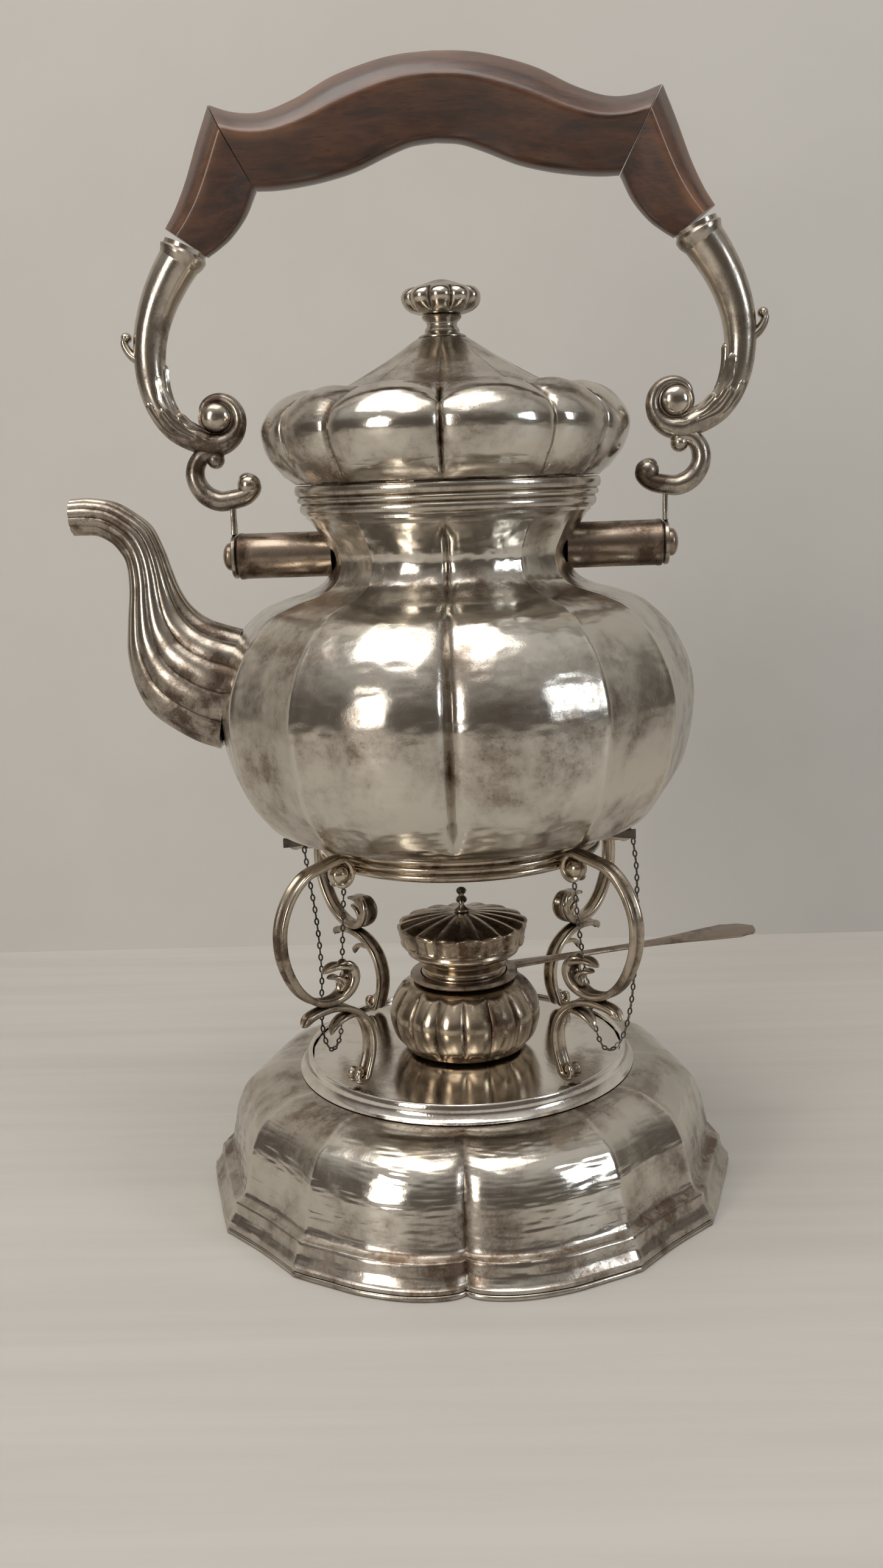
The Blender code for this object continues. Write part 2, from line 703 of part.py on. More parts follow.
def make_base():
    """The lobed dome, its rim, the collar on top and the mirror plate inside it."""
    outer = scaled(BASE_PROFILE_SHARES, BASE_RADIUS, BASE_HEIGHT, SHELL_BOTTOM)
    flange = [(BASE_RADIUS - GAP, SHELL_BOTTOM + WALL), (BASE_RADIUS - GAP, SHELL_BOTTOM)]
    walls = scaled(BASE_WALL_SHARES, BASE_RADIUS, BASE_HEIGHT, SHELL_BOTTOM)
    inner = [(r - WALL, z - WALL * WALL_DROP_SHARE) for r, z in reversed(walls)]
    inner.insert(0, (outer[-1][0] - WALL, SHELL_BOTTOM))
    shell = lobed("base_shell", outer + flange + inner, base_strength)
    place(shell, SILVER)

    low, top = 0, RIM_HEIGHT
    rim = [(BASE_RADIUS - RIM_WIDTH, top), (BASE_RADIUS - GAP, top), (BASE_RADIUS, top / 2),
           (BASE_RADIUS - GAP, low), (BASE_RADIUS - RIM_WIDTH, low)]
    place(lobed("base_foot_rim", rim, base_strength), SILVER)

    wide = COLLAR_RADIUS + COLLAR_TOP_WIDTH
    collar = [(COLLAR_RADIUS, COLLAR_TOP), (wide, COLLAR_TOP),
              (wide + COLLAR_FLARE * COLLAR_BEND_SHARE, COLLAR_BOTTOM + COLLAR_HEIGHT / 2),
              (wide + COLLAR_FLARE, COLLAR_BOTTOM), (COLLAR_RADIUS, COLLAR_BOTTOM)]
    place(lathe("gallery_collar", collar), SILVER)

    edge = COLLAR_RADIUS - GAP
    disc = [(0, PLATE_TOP), (edge, PLATE_TOP), (edge, PLATE_TOP - PLATE_THICKNESS),
            (0, PLATE_TOP - PLATE_THICKNESS)]
    place(lathe("mirror_plate", disc), SILVER)


# The stand


def ring_profile():
    """The ring's moulded section: three beads on its outer side."""
    bead = RING_BEAD_SHARE * RING_WIDTH
    low = RING_RADIUS - bead
    points = [(RING_RADIUS - RING_WIDTH, RING_TOP), (low, RING_TOP)]
    third = RING_HEIGHT / 3
    for i in range(3):
        top = RING_TOP - third * i
        points += [(RING_RADIUS, top - third / 2), (low, top - third)]
    points.append((RING_RADIUS - RING_WIDTH, RING_BOTTOM))
    return points


def upper_scroll_bottom():
    """The lower edge of the big C, where the reverse C meets it."""
    return RING_BOTTOM + UPPER_VOLUTE_RADIUS - UPPER_SCROLL_HEIGHT


def upper_scroll_path():
    """The big C of a leg: a volute by the ring, out, down, and a leaf curl inwards."""
    curve = scaled(UPPER_SHARES, LEG_REACH, UPPER_SCROLL_HEIGHT, upper_scroll_bottom())
    start, end = UPPER_VOLUTE_ANGLES
    first, last = (share * (UPPER_VOLUTE_RADIUS - LEG_THICKNESS / 2) for share in UPPER_VOLUTE_SHARES)
    volute = spiral(upper_volute_centre(), start, end - start, first, last, UPPER_VOLUTE_POINTS)
    return np.vstack([volute, curve])


def upper_volute_centre():
    """The volute sits against the ring's lowest bead."""
    start, end = UPPER_VOLUTE_ANGLES
    first, last = UPPER_VOLUTE_SHARES
    share = first + (last - first) * (start - 180.0) / (start - end)
    reach = share * (UPPER_VOLUTE_RADIUS - LEG_THICKNESS / 2) + LEG_THICKNESS / 2
    return RING_RADIUS + GAP + reach, RING_BOTTOM + RING_HEIGHT / 6


def lower_scroll_path():
    """The reverse C of a leg: a tail curl under the big C, in, and down to the foot volute."""
    centre = (COLLAR_RADIUS - GAP * 2 - FOOT_VOLUTE_RADIUS, PLATE_TOP + GAP + FOOT_VOLUTE_RADIUS)
    height = upper_scroll_bottom() - PLATE_TOP - LEG_THICKNESS / 2 - GAP
    curve = scaled(LOWER_SHARES, LEG_REACH, height, PLATE_TOP)
    reach = FOOT_VOLUTE_RADIUS - LEG_THICKNESS / 2
    start, end = FOOT_VOLUTE_ANGLES
    volute = spiral(centre, start, end - start, reach, reach * VOLUTE_CORE_SHARE, FOOT_VOLUTE_POINTS)
    return np.vstack([curve, volute])


def make_leg(name, angle):
    """One leg of two scrolls, with a ball in the top volute."""
    turn = (QUARTER_TURN, 0, math.radians(angle))
    big = strap_outline(upper_scroll_path(), LEG_THICKNESS / 2)
    upper = as_mesh_object(plate(f"leg_{name}_upper_scroll", [big], LEG_WIDTH))
    ball = sphere("ball", LEG_BALL_RADIUS)
    centre = upper_volute_centre()
    ball.location = (centre[0], centre[1], 0)
    place(joined(upper, [ball]), GILT, rotation=turn)
    small = strap_outline(lower_scroll_path(), LEG_THICKNESS / 2)
    lower = plate(f"leg_{name}_lower_scroll", [small], LEG_WIDTH)
    place(as_mesh_object(lower), GILT, rotation=turn)


def make_stand():
    """The ring that carries the kettle, and its four legs."""
    place(lathe("stand_ring", ring_profile()), GILT)
    for name, angle in zip(LEG_NAMES, LEG_ANGLES):
        make_leg(name, angle)


# The kettle


def body_strength(radius, height):
    """The lobes fade out under the mouth and round the bottom."""
    low = BODY_BOTTOM + BODY_HEIGHT * LOBE_START_SHARE
    rise = ease(height, low, low + BODY_HEIGHT * LOBE_RISE_SHARE)
    top = MOUTH_BOTTOM - MOUTH_HEIGHT * LOBE_FADE_SHARE
    return rise * (1 - ease(height, top, MOUTH_BOTTOM))


def body_outside():
    """The kettle's outer profile from the mouth's top to the axis."""
    mouth = [(MOUTH_RADIUS, MOUTH_TOP), (MOUTH_RADIUS, MOUTH_BOTTOM + WALL)]
    sides = scaled(BODY_PROFILE_SHARES, BODY_RADIUS, BODY_HEIGHT, BODY_BOTTOM)
    return mouth + sides + [(0, BODY_BOTTOM)]


def body_inside():
    """The kettle's inner profile from the axis up to the mouth's top."""
    top = (MOUTH_RADIUS, MOUTH_BOTTOM + WALL)
    sides = scaled(BODY_WALL_SHARES, BODY_RADIUS, BODY_HEIGHT, BODY_BOTTOM)
    moved = offset_profile([top, *sides, (0, BODY_BOTTOM)], -WALL)
    mouth = [(MOUTH_RADIUS - WALL, MOUTH_BOTTOM + WALL), (MOUTH_RADIUS - WALL, MOUTH_TOP)]
    return [(0, BODY_BOTTOM + WALL)] + moved[-2:0:-1] + mouth


def offset_profile(points, distance):
    """A profile moved outwards along its own normals, its ends on the axis kept there."""
    path = np.array(points)
    ahead = np.diff(path, axis=0)
    ahead /= np.linalg.norm(ahead, axis=1)[:, None]
    out = np.stack([-ahead[:, 1], ahead[:, 0]], 1)
    normal = np.vstack([out[:1], out[:-1] + out[1:], out[-1:]])
    normal /= np.linalg.norm(normal, axis=1)[:, None]
    moved = path + normal * distance
    moved[path[:, 0] == 0, 0] = 0
    return [tuple(point) for point in moved]


def kettle_envelope():
    """The kettle's outside, grown by the gap: it cuts what is soldered to the body."""
    grown = offset_profile(body_outside(), GAP)
    return as_cutter(lobed("kettle_envelope", [(0, MOUTH_TOP)] + grown, body_strength))


def spout_ring(station, ribs):
    """One section of the spout: an oval between its upper and lower edge points."""
    (ux, uz), (lx, lz), width = station
    top = np.array([-ux * SPOUT_REACH, 0, SPOUT_LOW + uz * SPOUT_RISE])
    low = np.array([-lx * SPOUT_REACH, 0, SPOUT_LOW + lz * SPOUT_RISE])
    middle = (top + low) / 2
    up = (top - low) / 2
    across = np.array([0, width * SPOUT_REACH, 0])
    if ribs:
        count = SPOUT_RIBS * SPOUT_POINTS_PER_RIB
        angle = np.arange(count) * 2 * math.pi / count
        scale = 1 - SPOUT_RIB_SHARE * (1 - np.abs(np.sin(SPOUT_RIBS * angle / 2)))
    else:
        count = SPOUT_BORE_POINTS
        angle = np.arange(count) * 2 * math.pi / count
        scale = 1 - SPOUT_RIB_SHARE - SPOUT_WALL / np.linalg.norm(up) * np.ones(count)
    oval = up[None] * np.cos(angle)[:, None] + across[None] * np.sin(angle)[:, None]
    return middle + oval * scale[:, None]


def spout_bore():
    """The spout's inside, run on past its mouth and into the body: it cuts both."""
    rings = [spout_ring(station, False) for station in SPOUT_STATION_SHARES]
    out = rings[-1] - rings[-2]
    out /= np.linalg.norm(out.mean(0))
    rings.append(rings[-1] + out.mean(0) * OVERRUN)
    return as_cutter(loft("spout_bore", rings))


def make_kettle():
    """The hollow body with its mouth moulding, foot ring, spout and trunnion tubes."""
    envelope = kettle_envelope()
    envelope.parent = ORIGIN
    bore = spout_bore()
    bore.parent = ORIGIN

    body = lobed("kettle_body", body_outside() + body_inside(), body_strength)
    cut_by(place(body, SILVER), bore)

    spout = loft("kettle_spout", [spout_ring(station, True) for station in SPOUT_STATION_SHARES])
    place(spout, SILVER)
    cut_by(spout, envelope)
    cut_by(spout, bore)

    low = MOUTH_RADIUS + GAP * 2
    top = MOUTH_TOP
    step = MOULDING_HEIGHT / 3
    moulding = [(low, top)]
    for i in range(3):
        reach = low + MOULDING_WIDTH * (1 - MOULDING_STEP_SHARE * i)
        moulding += [(reach - MOULDING_WIDTH * MOULDING_BULGE_SHARE, top - step * i),
                     (reach, top - step * (i + MOULDING_CREST_SHARE))]
    moulding.append((low, top - MOULDING_HEIGHT))
    place(lathe("mouth_moulding", moulding), SILVER)

    wide = RING_RADIUS - RING_WIDTH - GAP
    high = BODY_BOTTOM - GAP
    foot = [(wide - FOOT_RING_WIDTH, high), (wide, high), (wide - GAP * 2, high - FOOT_RING_HEIGHT),
            (wide - FOOT_RING_WIDTH, high - FOOT_RING_HEIGHT)]
    place(lathe("kettle_foot_ring", foot), DARK_SILVER)

    for side, sign in (("left", -1), ("right", 1)):
        make_trunnion(side, sign, envelope)


def make_trunnion(side, sign, envelope):
    """A tube that stands out from the neck, and the screw that the handle turns on."""
    hole = SCREW_RADIUS + GAP
    deep = TRUNNION_REACH - SCREW_DEPTH - GAP
    turn = (0, QUARTER_TURN * sign, 0)
    root = MOUTH_RADIUS / 2
    profile = [(hole, TRUNNION_REACH), (TRUNNION_RADIUS * (1 - TUBE_BEVEL_SHARE), TRUNNION_REACH),
               (TRUNNION_RADIUS, TRUNNION_REACH - TRUNNION_RADIUS * TUBE_BEVEL_SHARE),
               (TRUNNION_RADIUS, root), (0, root), (0, deep), (hole, deep)]
    barrel = lathe(f"trunnion_tube_{side}", profile, SMALL_STEPS)
    place(barrel, DARK_SILVER, location=(0, 0, TRUNNION_Z), rotation=turn)
    cut_by(barrel, envelope)

    seat = TRUNNION_REACH + GAP + EYE_THICKNESS + GAP
    dome = [(0, seat + SCREW_HEAD_HEIGHT)]
    rim = SCREW_HEAD_HEIGHT * SCREW_RIM_SHARE
    dome += [(SCREW_HEAD_RADIUS * math.sin(a), seat + rim + (SCREW_HEAD_HEIGHT - rim) * math.cos(a))
             for a in (math.radians(d) for d in SCREW_DOME_ANGLES)]
    dome += [(SCREW_HEAD_RADIUS, seat), (SCREW_RADIUS, seat),
             (SCREW_RADIUS, TRUNNION_REACH - SCREW_DEPTH), (0, TRUNNION_REACH - SCREW_DEPTH)]
    place(lathe(f"pivot_screw_{side}", dome, SMALL_STEPS), DARK_SILVER,
          location=(0, 0, TRUNNION_Z), rotation=turn)


# The lid


def lid_strength(radius, height):
    """The lobes run down from the knob, weaker on the cone, and fade at the lower edge."""
    start = LID_LOBE_START_SHARE * LID_RADIUS
    cone = CONE_LOBE_SHARE * ease(radius, start, start * 2)
    full = ease(radius, LID_RADIUS * LID_LOBE_SHARES[0], LID_RADIUS * LID_LOBE_SHARES[1])
    foot = ease(height, LID_BOTTOM, LID_BOTTOM + LID_HEIGHT * LID_FOOT_SHARE)
    return (cone + (1 - CONE_LOBE_SHARE) * full) * foot


def make_lid():
    """The lobed lid, its flange, and the knob on a stem held by a nut inside."""
    hole = STUD_RADIUS + GAP
    outer = scaled(LID_PROFILE_SHARES, LID_RADIUS, LID_HEIGHT, LID_BOTTOM)
    walls = scaled(LID_WALL_SHARES, LID_RADIUS, LID_HEIGHT, LID_BOTTOM)
    inner = [(outer[-1][0] - WALL, LID_BOTTOM)]
    inner += [(r - WALL, z - WALL * WALL_DROP_SHARE) for r, z in reversed(walls)]
    inner[-1] = (outer[0][0] - WALL, LID_TOP - WALL)
    shell = [(hole, LID_TOP)] + outer + inner + [(hole, LID_TOP - WALL)]
    place(lobed("lid_shell", shell, lid_strength), SILVER)

    wide = MOUTH_RADIUS - WALL - LID_FLANGE_CLEARANCE
    top = LID_BOTTOM + WALL
    low = LID_BOTTOM - LID_FLANGE_DEPTH
    seat = outer[-1][0] - WALL - GAP * 2
    flange = [(wide - WALL, top), (seat, top), (seat, LID_BOTTOM + GAP), (wide, LID_BOTTOM + GAP),
              (wide, low), (wide - WALL, low)]
    place(lathe("lid_flange", flange), DARK_SILVER)

    seat = LID_TOP + GAP
    stem = scaled(STEM_SHARES, STEM_RADIUS, STEM_HEIGHT, seat)
    stem += [(STUD_RADIUS, seat), (STUD_RADIUS, seat - STUD_LENGTH), (0, seat - STUD_LENGTH)]
    place(lathe("knob_stem", stem, SMALL_STEPS), SILVER)

    low = seat + STEM_HEIGHT + GAP
    bulb = scaled(KNOB_PROFILE_SHARES, KNOB_RADIUS, KNOB_HEIGHT, low)
    knob = as_mesh_object(lathe("lid_knob", bulb, KNOB_LOBES * 2))
    shape_flutes(knob.data, KNOB_LOBES, KNOB_LOBE_SHARE, knob_strength)
    smooth_shade(knob.data)
    place(knob, SILVER)

    low = LID_TOP - WALL - GAP
    bore = hole / math.cos(math.pi / NUT_SIDES)
    nut = [(bore, low), (NUT_RADIUS, low), (NUT_RADIUS, low - NUT_HEIGHT), (bore, low - NUT_HEIGHT)]
    place(lathe("knob_nut", nut, NUT_SIDES), COPPER)


def knob_strength(radius, height):
    """The knob's flutes are full at its widest and fade on its cap."""
    return ease(radius, KNOB_RADIUS * KNOB_LOBE_SHARES[0], KNOB_RADIUS * KNOB_LOBE_SHARES[1])


# The handle


def handle_points(shares, sign):
    """Places beside the handle's axis, from shares of its reach and rise."""
    return [(sign * x * GRIP_REACH, z * HANDLE_RISE) for x, z in shares]


def grip_ring(top, low, half):
    """One section of the wood: a kite with a ridge on each side and blunt edges."""
    top = np.array([top[0], 0, top[1]])
    low = np.array([low[0], 0, low[1]])
    ridge = top + (low - top) * GRIP_RIDGE_SHARE
    side = np.array([0, half, 0])
    upper = (top + ridge) / 2
    under = (ridge + low) / 2
    half_ring = [top + side * GRIP_EDGE_SHARE, upper + side * GRIP_CREASE_SHARE, ridge + side,
                 under + side * GRIP_CREASE_SHARE, low + side * GRIP_EDGE_SHARE]
    other = [point * np.array([1, -1, 1]) for point in reversed(half_ring)]
    return np.array(half_ring + other)


def make_grip():
    """The arched bar and the two mitred ends of the wooden grip."""
    tops = handle_points(GRIP_TOP_SHARES, 1)
    unders = handle_points(GRIP_UNDER_SHARES, 1)
    right = [grip_ring(a, b, GRIP_HALF_WIDTH) for a, b in zip(tops, unders)]
    left = [ring * np.array([-1, 1, 1]) for ring in reversed(right[1:])]
    place(loft("grip_bar", left + right), WOOD, HANDLE_AXIS)

    for side, sign in (("left", -1), ("right", 1)):
        tops = handle_points(GRIP_END_TOP_SHARES, sign)
        unders = handle_points(GRIP_END_UNDER_SHARES, sign)
        mitre = np.array(tops[0]) - np.array(unders[0])
        off = np.array([mitre[1], -mitre[0]]) * sign / np.linalg.norm(mitre) * GAP
        halves = np.linspace(GRIP_HALF_WIDTH, GRIP_END_HALF_WIDTH, len(tops))
        moved = [(np.array(a) + off, np.array(b) + off) for a, b in zip(tops, unders)]
        rings = [grip_ring(a, b, half) for (a, b), half in zip(moved, halves)]
        wood = loft(f"grip_end_{side}", rings)
        last = (np.array(tops[-1]) + np.array(unders[-1])) / 2
        tenon = cylinder("tenon", TENON_RADIUS, TENON_LENGTH * 2, BOSS_STEPS)
        tenon.location = (last[0], 0, last[1])
        tenon.rotation_euler = (0, grip_end_tilt(sign), 0)
        place(joined(wood, [tenon]), WOOD, HANDLE_AXIS)


def grip_end_tilt(sign):
    """How far the grip's end face leans from level, about Y."""
    a = GRIP_END_TOP_SHARES[-1]
    b = GRIP_END_UNDER_SHARES[-1]
    lean = math.atan2((a[1] - b[1]) * HANDLE_RISE, (a[0] - b[0]) * GRIP_REACH)
    return -lean * sign


def arm_volute():
    """A round boss with a rolled rim and a button on each face."""
    face = [(r * ARM_VOLUTE_RADIUS, h * ARM_VOLUTE_HALF_WIDTH) for r, h in ARM_VOLUTE_PROFILE_SHARES]
    return lathe("volute", face + [(r, -h) for r, h in reversed(face)], BOSS_STEPS)


def make_arm(side, sign):
    """A cast arm with its volute, button and thumb scroll, and a socket for the wood."""
    points = [(x, 0, z) for x, z in smooth_path(handle_points(ARM_SHARES, sign), 2)]
    shares = smooth_path([[share] for share in ARM_RADIUS_SHARES], 2)[:, 0]
    arm = as_mesh_object(tube(f"handle_arm_{side}", points, ARM_RADIUS, shares, 1))
    centre = handle_points([ARM_VOLUTE_SHARES], sign)[0]
    volute = arm_volute()
    volute.location = (centre[0], 0, centre[1])
    volute.rotation_euler = (QUARTER_TURN, 0, 0)
    thumb = smooth_path(handle_points(THUMB_SHARES, sign), 2)
    horn = as_mesh_object(tube("thumb", [(x, 0, z) for x, z in thumb], THUMB_RADIUS, resolution=1))
    arm = joined(arm, [volute, horn])

    end = (np.array(GRIP_END_TOP_SHARES[-1]) + np.array(GRIP_END_UNDER_SHARES[-1])) / 2
    x, z = handle_points([end], sign)[0]
    tilt = grip_end_tilt(sign)
    down = Vector((math.sin(tilt), 0, math.cos(tilt))) * -1
    bore = cylinder("socket", TENON_RADIUS + GAP, TENON_LENGTH + GAP, BOSS_STEPS)
    bore.location = Vector((x, 0, z)) + down * (TENON_LENGTH + GAP) / 2
    bore.rotation_euler = (0, tilt, 0)
    face = block("face", (GRIP_REACH, GRIP_REACH, GRIP_REACH))
    face.location = Vector((x, 0, z)) - down * (GRIP_REACH / 2 - GAP)
    face.rotation_euler = (0, tilt, 0)
    place(joined(arm, [bore, face], "DIFFERENCE"), SILVER, HANDLE_AXIS)


def make_bracket(side, sign):
    """The small scroll under an arm, with the flat eye that turns on the screw."""
    path = handle_points(BRACKET_SHARES, sign)
    places = [(x, 0, z) for x, z in path]
    scroll = as_mesh_object(tube(f"swivel_bracket_{side}", places, BRACKET_RADIUS, resolution=1))
    middle = TRUNNION_REACH + GAP + EYE_THICKNESS / 2
    foot = min(path, key=lambda p: abs(p[0] - sign * middle) + p[1])
    half = EYE_STEM_WIDTH / 2
    open_angle = math.degrees(math.asin(half / EYE_RADIUS))
    disc = circle_points(EYE_RADIUS, EYE_POINTS, start=90 + open_angle, turn=360 - 2 * open_angle, ends=True)
    outline = [(-half, foot[1])] + disc + [(half, foot[1])]
    hole = circle_points(SCREW_RADIUS + GAP, BOSS_STEPS)
    eye = as_mesh_object(plate("eye", [outline, hole], EYE_THICKNESS))
    upright = Matrix.Rotation(QUARTER_TURN, 4, "Z") @ Matrix.Rotation(QUARTER_TURN, 4, "X")
    eye.matrix_world = Matrix.Translation((sign * middle, 0, 0)) @ upright
    place(joined(scroll, [eye]), SILVER, HANDLE_AXIS)


def make_handle():
    """The bail handle: wood grip, two cast arms and their swivel brackets."""
    make_grip()
    for side, sign in (("left", -1), ("right", 1)):
        make_arm(side, sign)
        make_bracket(side, sign)


# Hinge lugs, pins and chains


def make_lug(side, sign):
    """The fork on the ring and the knuckle on the kettle, both bored for the pin."""
    inner = RING_RADIUS + GAP
    outer = PIN_X - KNUCKLE_RADIUS - GAP * 2
    total = KNUCKLE_WIDTH + 2 * EAR_THICKNESS + 2 * GAP
    fork = cylinder(f"ring_lug_{side}", KNUCKLE_RADIUS, total, KNUCKLE_STEPS)
    fork.rotation_euler = (QUARTER_TURN, 0, 0)
    fork.location = (sign * PIN_X, 0, PIN_Z)
    web = block("web", (PIN_X - inner, total, KNUCKLE_RADIUS * FORK_WEB_SHARE))
    web.location = (sign * (PIN_X + inner) / 2, 0, PIN_Z - KNUCKLE_RADIUS * FORK_DROP_SHARE)
    fork = joined(fork, [web])
    reach = PIN_X + KNUCKLE_RADIUS - outer + OVERRUN
    slot = block("slot", (reach, KNUCKLE_WIDTH + 2 * GAP, KNUCKLE_RADIUS * 4))
    slot.location = (sign * (outer + reach / 2), 0, PIN_Z)
    hole = pin_hole(sign)
    place(joined(fork, [slot, hole], "DIFFERENCE"), GILT)

    knuckle = cylinder(f"kettle_lug_{side}", KNUCKLE_RADIUS, KNUCKLE_WIDTH, KNUCKLE_STEPS)
    knuckle.rotation_euler = (QUARTER_TURN, 0, 0)
    knuckle.location = (sign * PIN_X, 0, PIN_Z)
    rise = LUG_WEB_DEPTH + KNUCKLE_RADIUS
    web = block("web", (KNUCKLE_RADIUS * KNUCKLE_WEB_SHARE, KNUCKLE_WIDTH, rise))
    web.location = (sign * (PIN_X + KNUCKLE_RADIUS * KNUCKLE_SHIFT_SHARE), 0, PIN_Z + rise / 2)
    knuckle = joined(knuckle, [web])
    cuts = [pin_hole(sign)]
    if side == "right":
        mouth = block("mouth", ((PIN_RADIUS + GAP) * 2, KNUCKLE_WIDTH * 2, KNUCKLE_RADIUS * 2))
        mouth.location = (PIN_X, 0, PIN_Z - KNUCKLE_RADIUS)
        cuts.append(mouth)
    knuckle = joined(knuckle, cuts, "DIFFERENCE")
    place(knuckle, DARK_SILVER)
    cut_by(knuckle, bpy.data.objects["kettle_envelope"])


def pin_hole(sign):
    """A cutter for the pin's bore."""
    hole = cylinder("pin_hole", PIN_RADIUS + GAP, TRUNNION_REACH, BOSS_STEPS)
    hole.rotation_euler = (QUARTER_TURN, 0, 0)
    hole.location = (sign * PIN_X, 0, PIN_Z)
    return hole


def pin_front():
    """How far in front of the pin's middle its head begins."""
    return KNUCKLE_WIDTH / 2 + GAP + EAR_THICKNESS + GAP


def make_pin(side, sign, parent):
    """A hinge pin that pulls out to the front by its flat horn-shaped head."""
    front = pin_front()
    length = 2 * front + PIN_TAIL + PIN_HEAD_THICKNESS / 2
    pin = cylinder(f"hinge_pin_{side}", PIN_RADIUS, length, BOSS_STEPS)
    pin.rotation_euler = (QUARTER_TURN, 0, 0)
    pin.location = (0, length / 2 - front - PIN_HEAD_THICKNESS / 2, 0)
    wide = PIN_HEAD_LENGTH / 2
    tall = PIN_HEAD_HEIGHT / 2
    outline = [(wide * x, tall * z) for x, z in PIN_HEAD_SHARES]
    horn = [(x * sign, z) for x, z in outline][::sign]
    head = as_mesh_object(plate("head", [horn], PIN_HEAD_THICKNESS))
    forward = Matrix.Translation((0, -front - PIN_HEAD_THICKNESS / 2, 0))
    head.matrix_world = forward @ Matrix.Rotation(QUARTER_TURN, 4, "X")
    place(joined(pin, [head]), IRON, parent)


def even_points(points, pitch):
    """Points at an even pitch along a smooth curve through a route."""
    curve = smooth_path(points, CHAIN_STEPS)
    run = np.concatenate([[0], np.cumsum(np.linalg.norm(np.diff(curve, axis=0), axis=1))])
    count = int(run[-1] / pitch) + 1
    marks = np.linspace(0, run[-1], count)
    return np.stack([np.interp(marks, run, curve[:, i]) for i in range(3)], 1)


def link_mesh(points, first):
    """Every second link of a chain as one mesh: stretched rings, each turned a quarter."""
    shape = bmesh.new()
    for i in range(first, len(points) - 1, 2):
        ahead = Vector(points[i + 1] - points[i]).normalized()
        middle = Vector((points[i + 1] + points[i]) / 2)
        across = ahead.orthogonal().normalized()
        if i % 2:
            across = ahead.cross(across)
        other = ahead.cross(across)
        reach = Vector(points[i + 1] - points[i]).length / 2 + LINK_BITE
        rings = []
        for j in range(LINK_STEPS):
            around = 2 * math.pi * (j + 0.5) / LINK_STEPS
            out = ahead * math.cos(around) + across * math.sin(around)
            end = ahead * reach * math.copysign(1, math.cos(around))
            centre = middle + across * math.sin(around) * LINK_RADIUS + end
            ring = []
            for k in range(LINK_WIRE_STEPS):
                turn = 2 * math.pi * k / LINK_WIRE_STEPS
                wire = (out * math.cos(turn) + other * math.sin(turn)) * LINK_WIRE
                ring.append(shape.verts.new(centre + wire))
            rings.append(ring)
        for j in range(LINK_STEPS):
            near, far = rings[j], rings[(j + 1) % LINK_STEPS]
            for k in range(LINK_WIRE_STEPS):
                m = (k + 1) % LINK_WIRE_STEPS
                shape.faces.new((near[k], far[k], far[m], near[m]))
    bmesh.ops.recalc_face_normals(shape, faces=shape.faces)
    mesh = bpy.data.meshes.new("links")
    shape.to_mesh(mesh)
    shape.free()
    return mesh


def staple_place(sign):
    """Where a staple stands under the ring, and how low it reaches."""
    angle = math.radians(STAPLE_ANGLE)
    middle = RING_RADIUS - RING_WIDTH / 2
    low = RING_BOTTOM - GAP - STAPLE_RADIUS * STAPLE_DEPTH_SHARE - STAPLE_WIRE
    return sign * middle * math.cos(angle), -middle * math.sin(angle), low


def make_chain(side, sign):
    """A hanging chain, each link soldered to the next, from a pin's head to its staple."""
    x, y, low = staple_place(sign)
    reach = GAP + LINK_WIRE + LINK_BITE
    edge = PIN_Z - PIN_HEAD_HEIGHT / 2 * CHAIN_EDGE_SHARES[side]
    top = (sign * PIN_X + CHAIN_HANG, -pin_front() - PIN_HEAD_THICKNESS / 2, edge - reach)
    points = even_points([top, *CHAIN_ROUTES[side], (x, y, low - reach)], LINK_PITCH)
    chain = bpy.data.objects.new(f"pin_chain_{side}", link_mesh(points, 0))
    PARTS.objects.link(chain)
    other = bpy.data.objects.new("other_links", link_mesh(points, 1))
    PARTS.objects.link(other)
    place(joined(chain, [other]), IRON)


def make_staple(side, sign):
    """A small eye under the ring that holds a chain's end."""
    x, y, low = staple_place(sign)
    foot = RING_BOTTOM - GAP
    centre = (0, low + STAPLE_WIRE + STAPLE_RADIUS)
    arc = circle_points(STAPLE_RADIUS, STAPLE_POINTS, centre, start=180, turn=180, ends=True)
    leg = [(-STAPLE_RADIUS, foot)] + arc + [(STAPLE_RADIUS, foot)]
    wire = [(x, y + along, z) for along, z in leg]
    place(tube(f"chain_staple_{side}", wire, STAPLE_WIRE, resolution=1), GILT)


def make_hinges():
    """Lugs, pins, chains and staples on both sides."""
    for side, sign, parent in (("left", -1, LEFT_PIN_AXIS), ("right", 1, RIGHT_PIN_AXIS)):
        make_lug(side, sign)
        make_pin(side, sign, parent)
        make_chain(side, sign)
        make_staple(side, sign)


# The burner


def bowl_strength(radius, height):
    """The bowl's flutes fade at its shoulder and under it."""
    rise = ease(height, BOWL_BOTTOM, BOWL_BOTTOM + BOWL_HEIGHT * FLUTE_RISE_SHARE)
    top = BOWL_BOTTOM + BOWL_HEIGHT
    return rise * (1 - ease(height, BOWL_BOTTOM + BOWL_HEIGHT * FLUTE_FADE_SHARE, top))


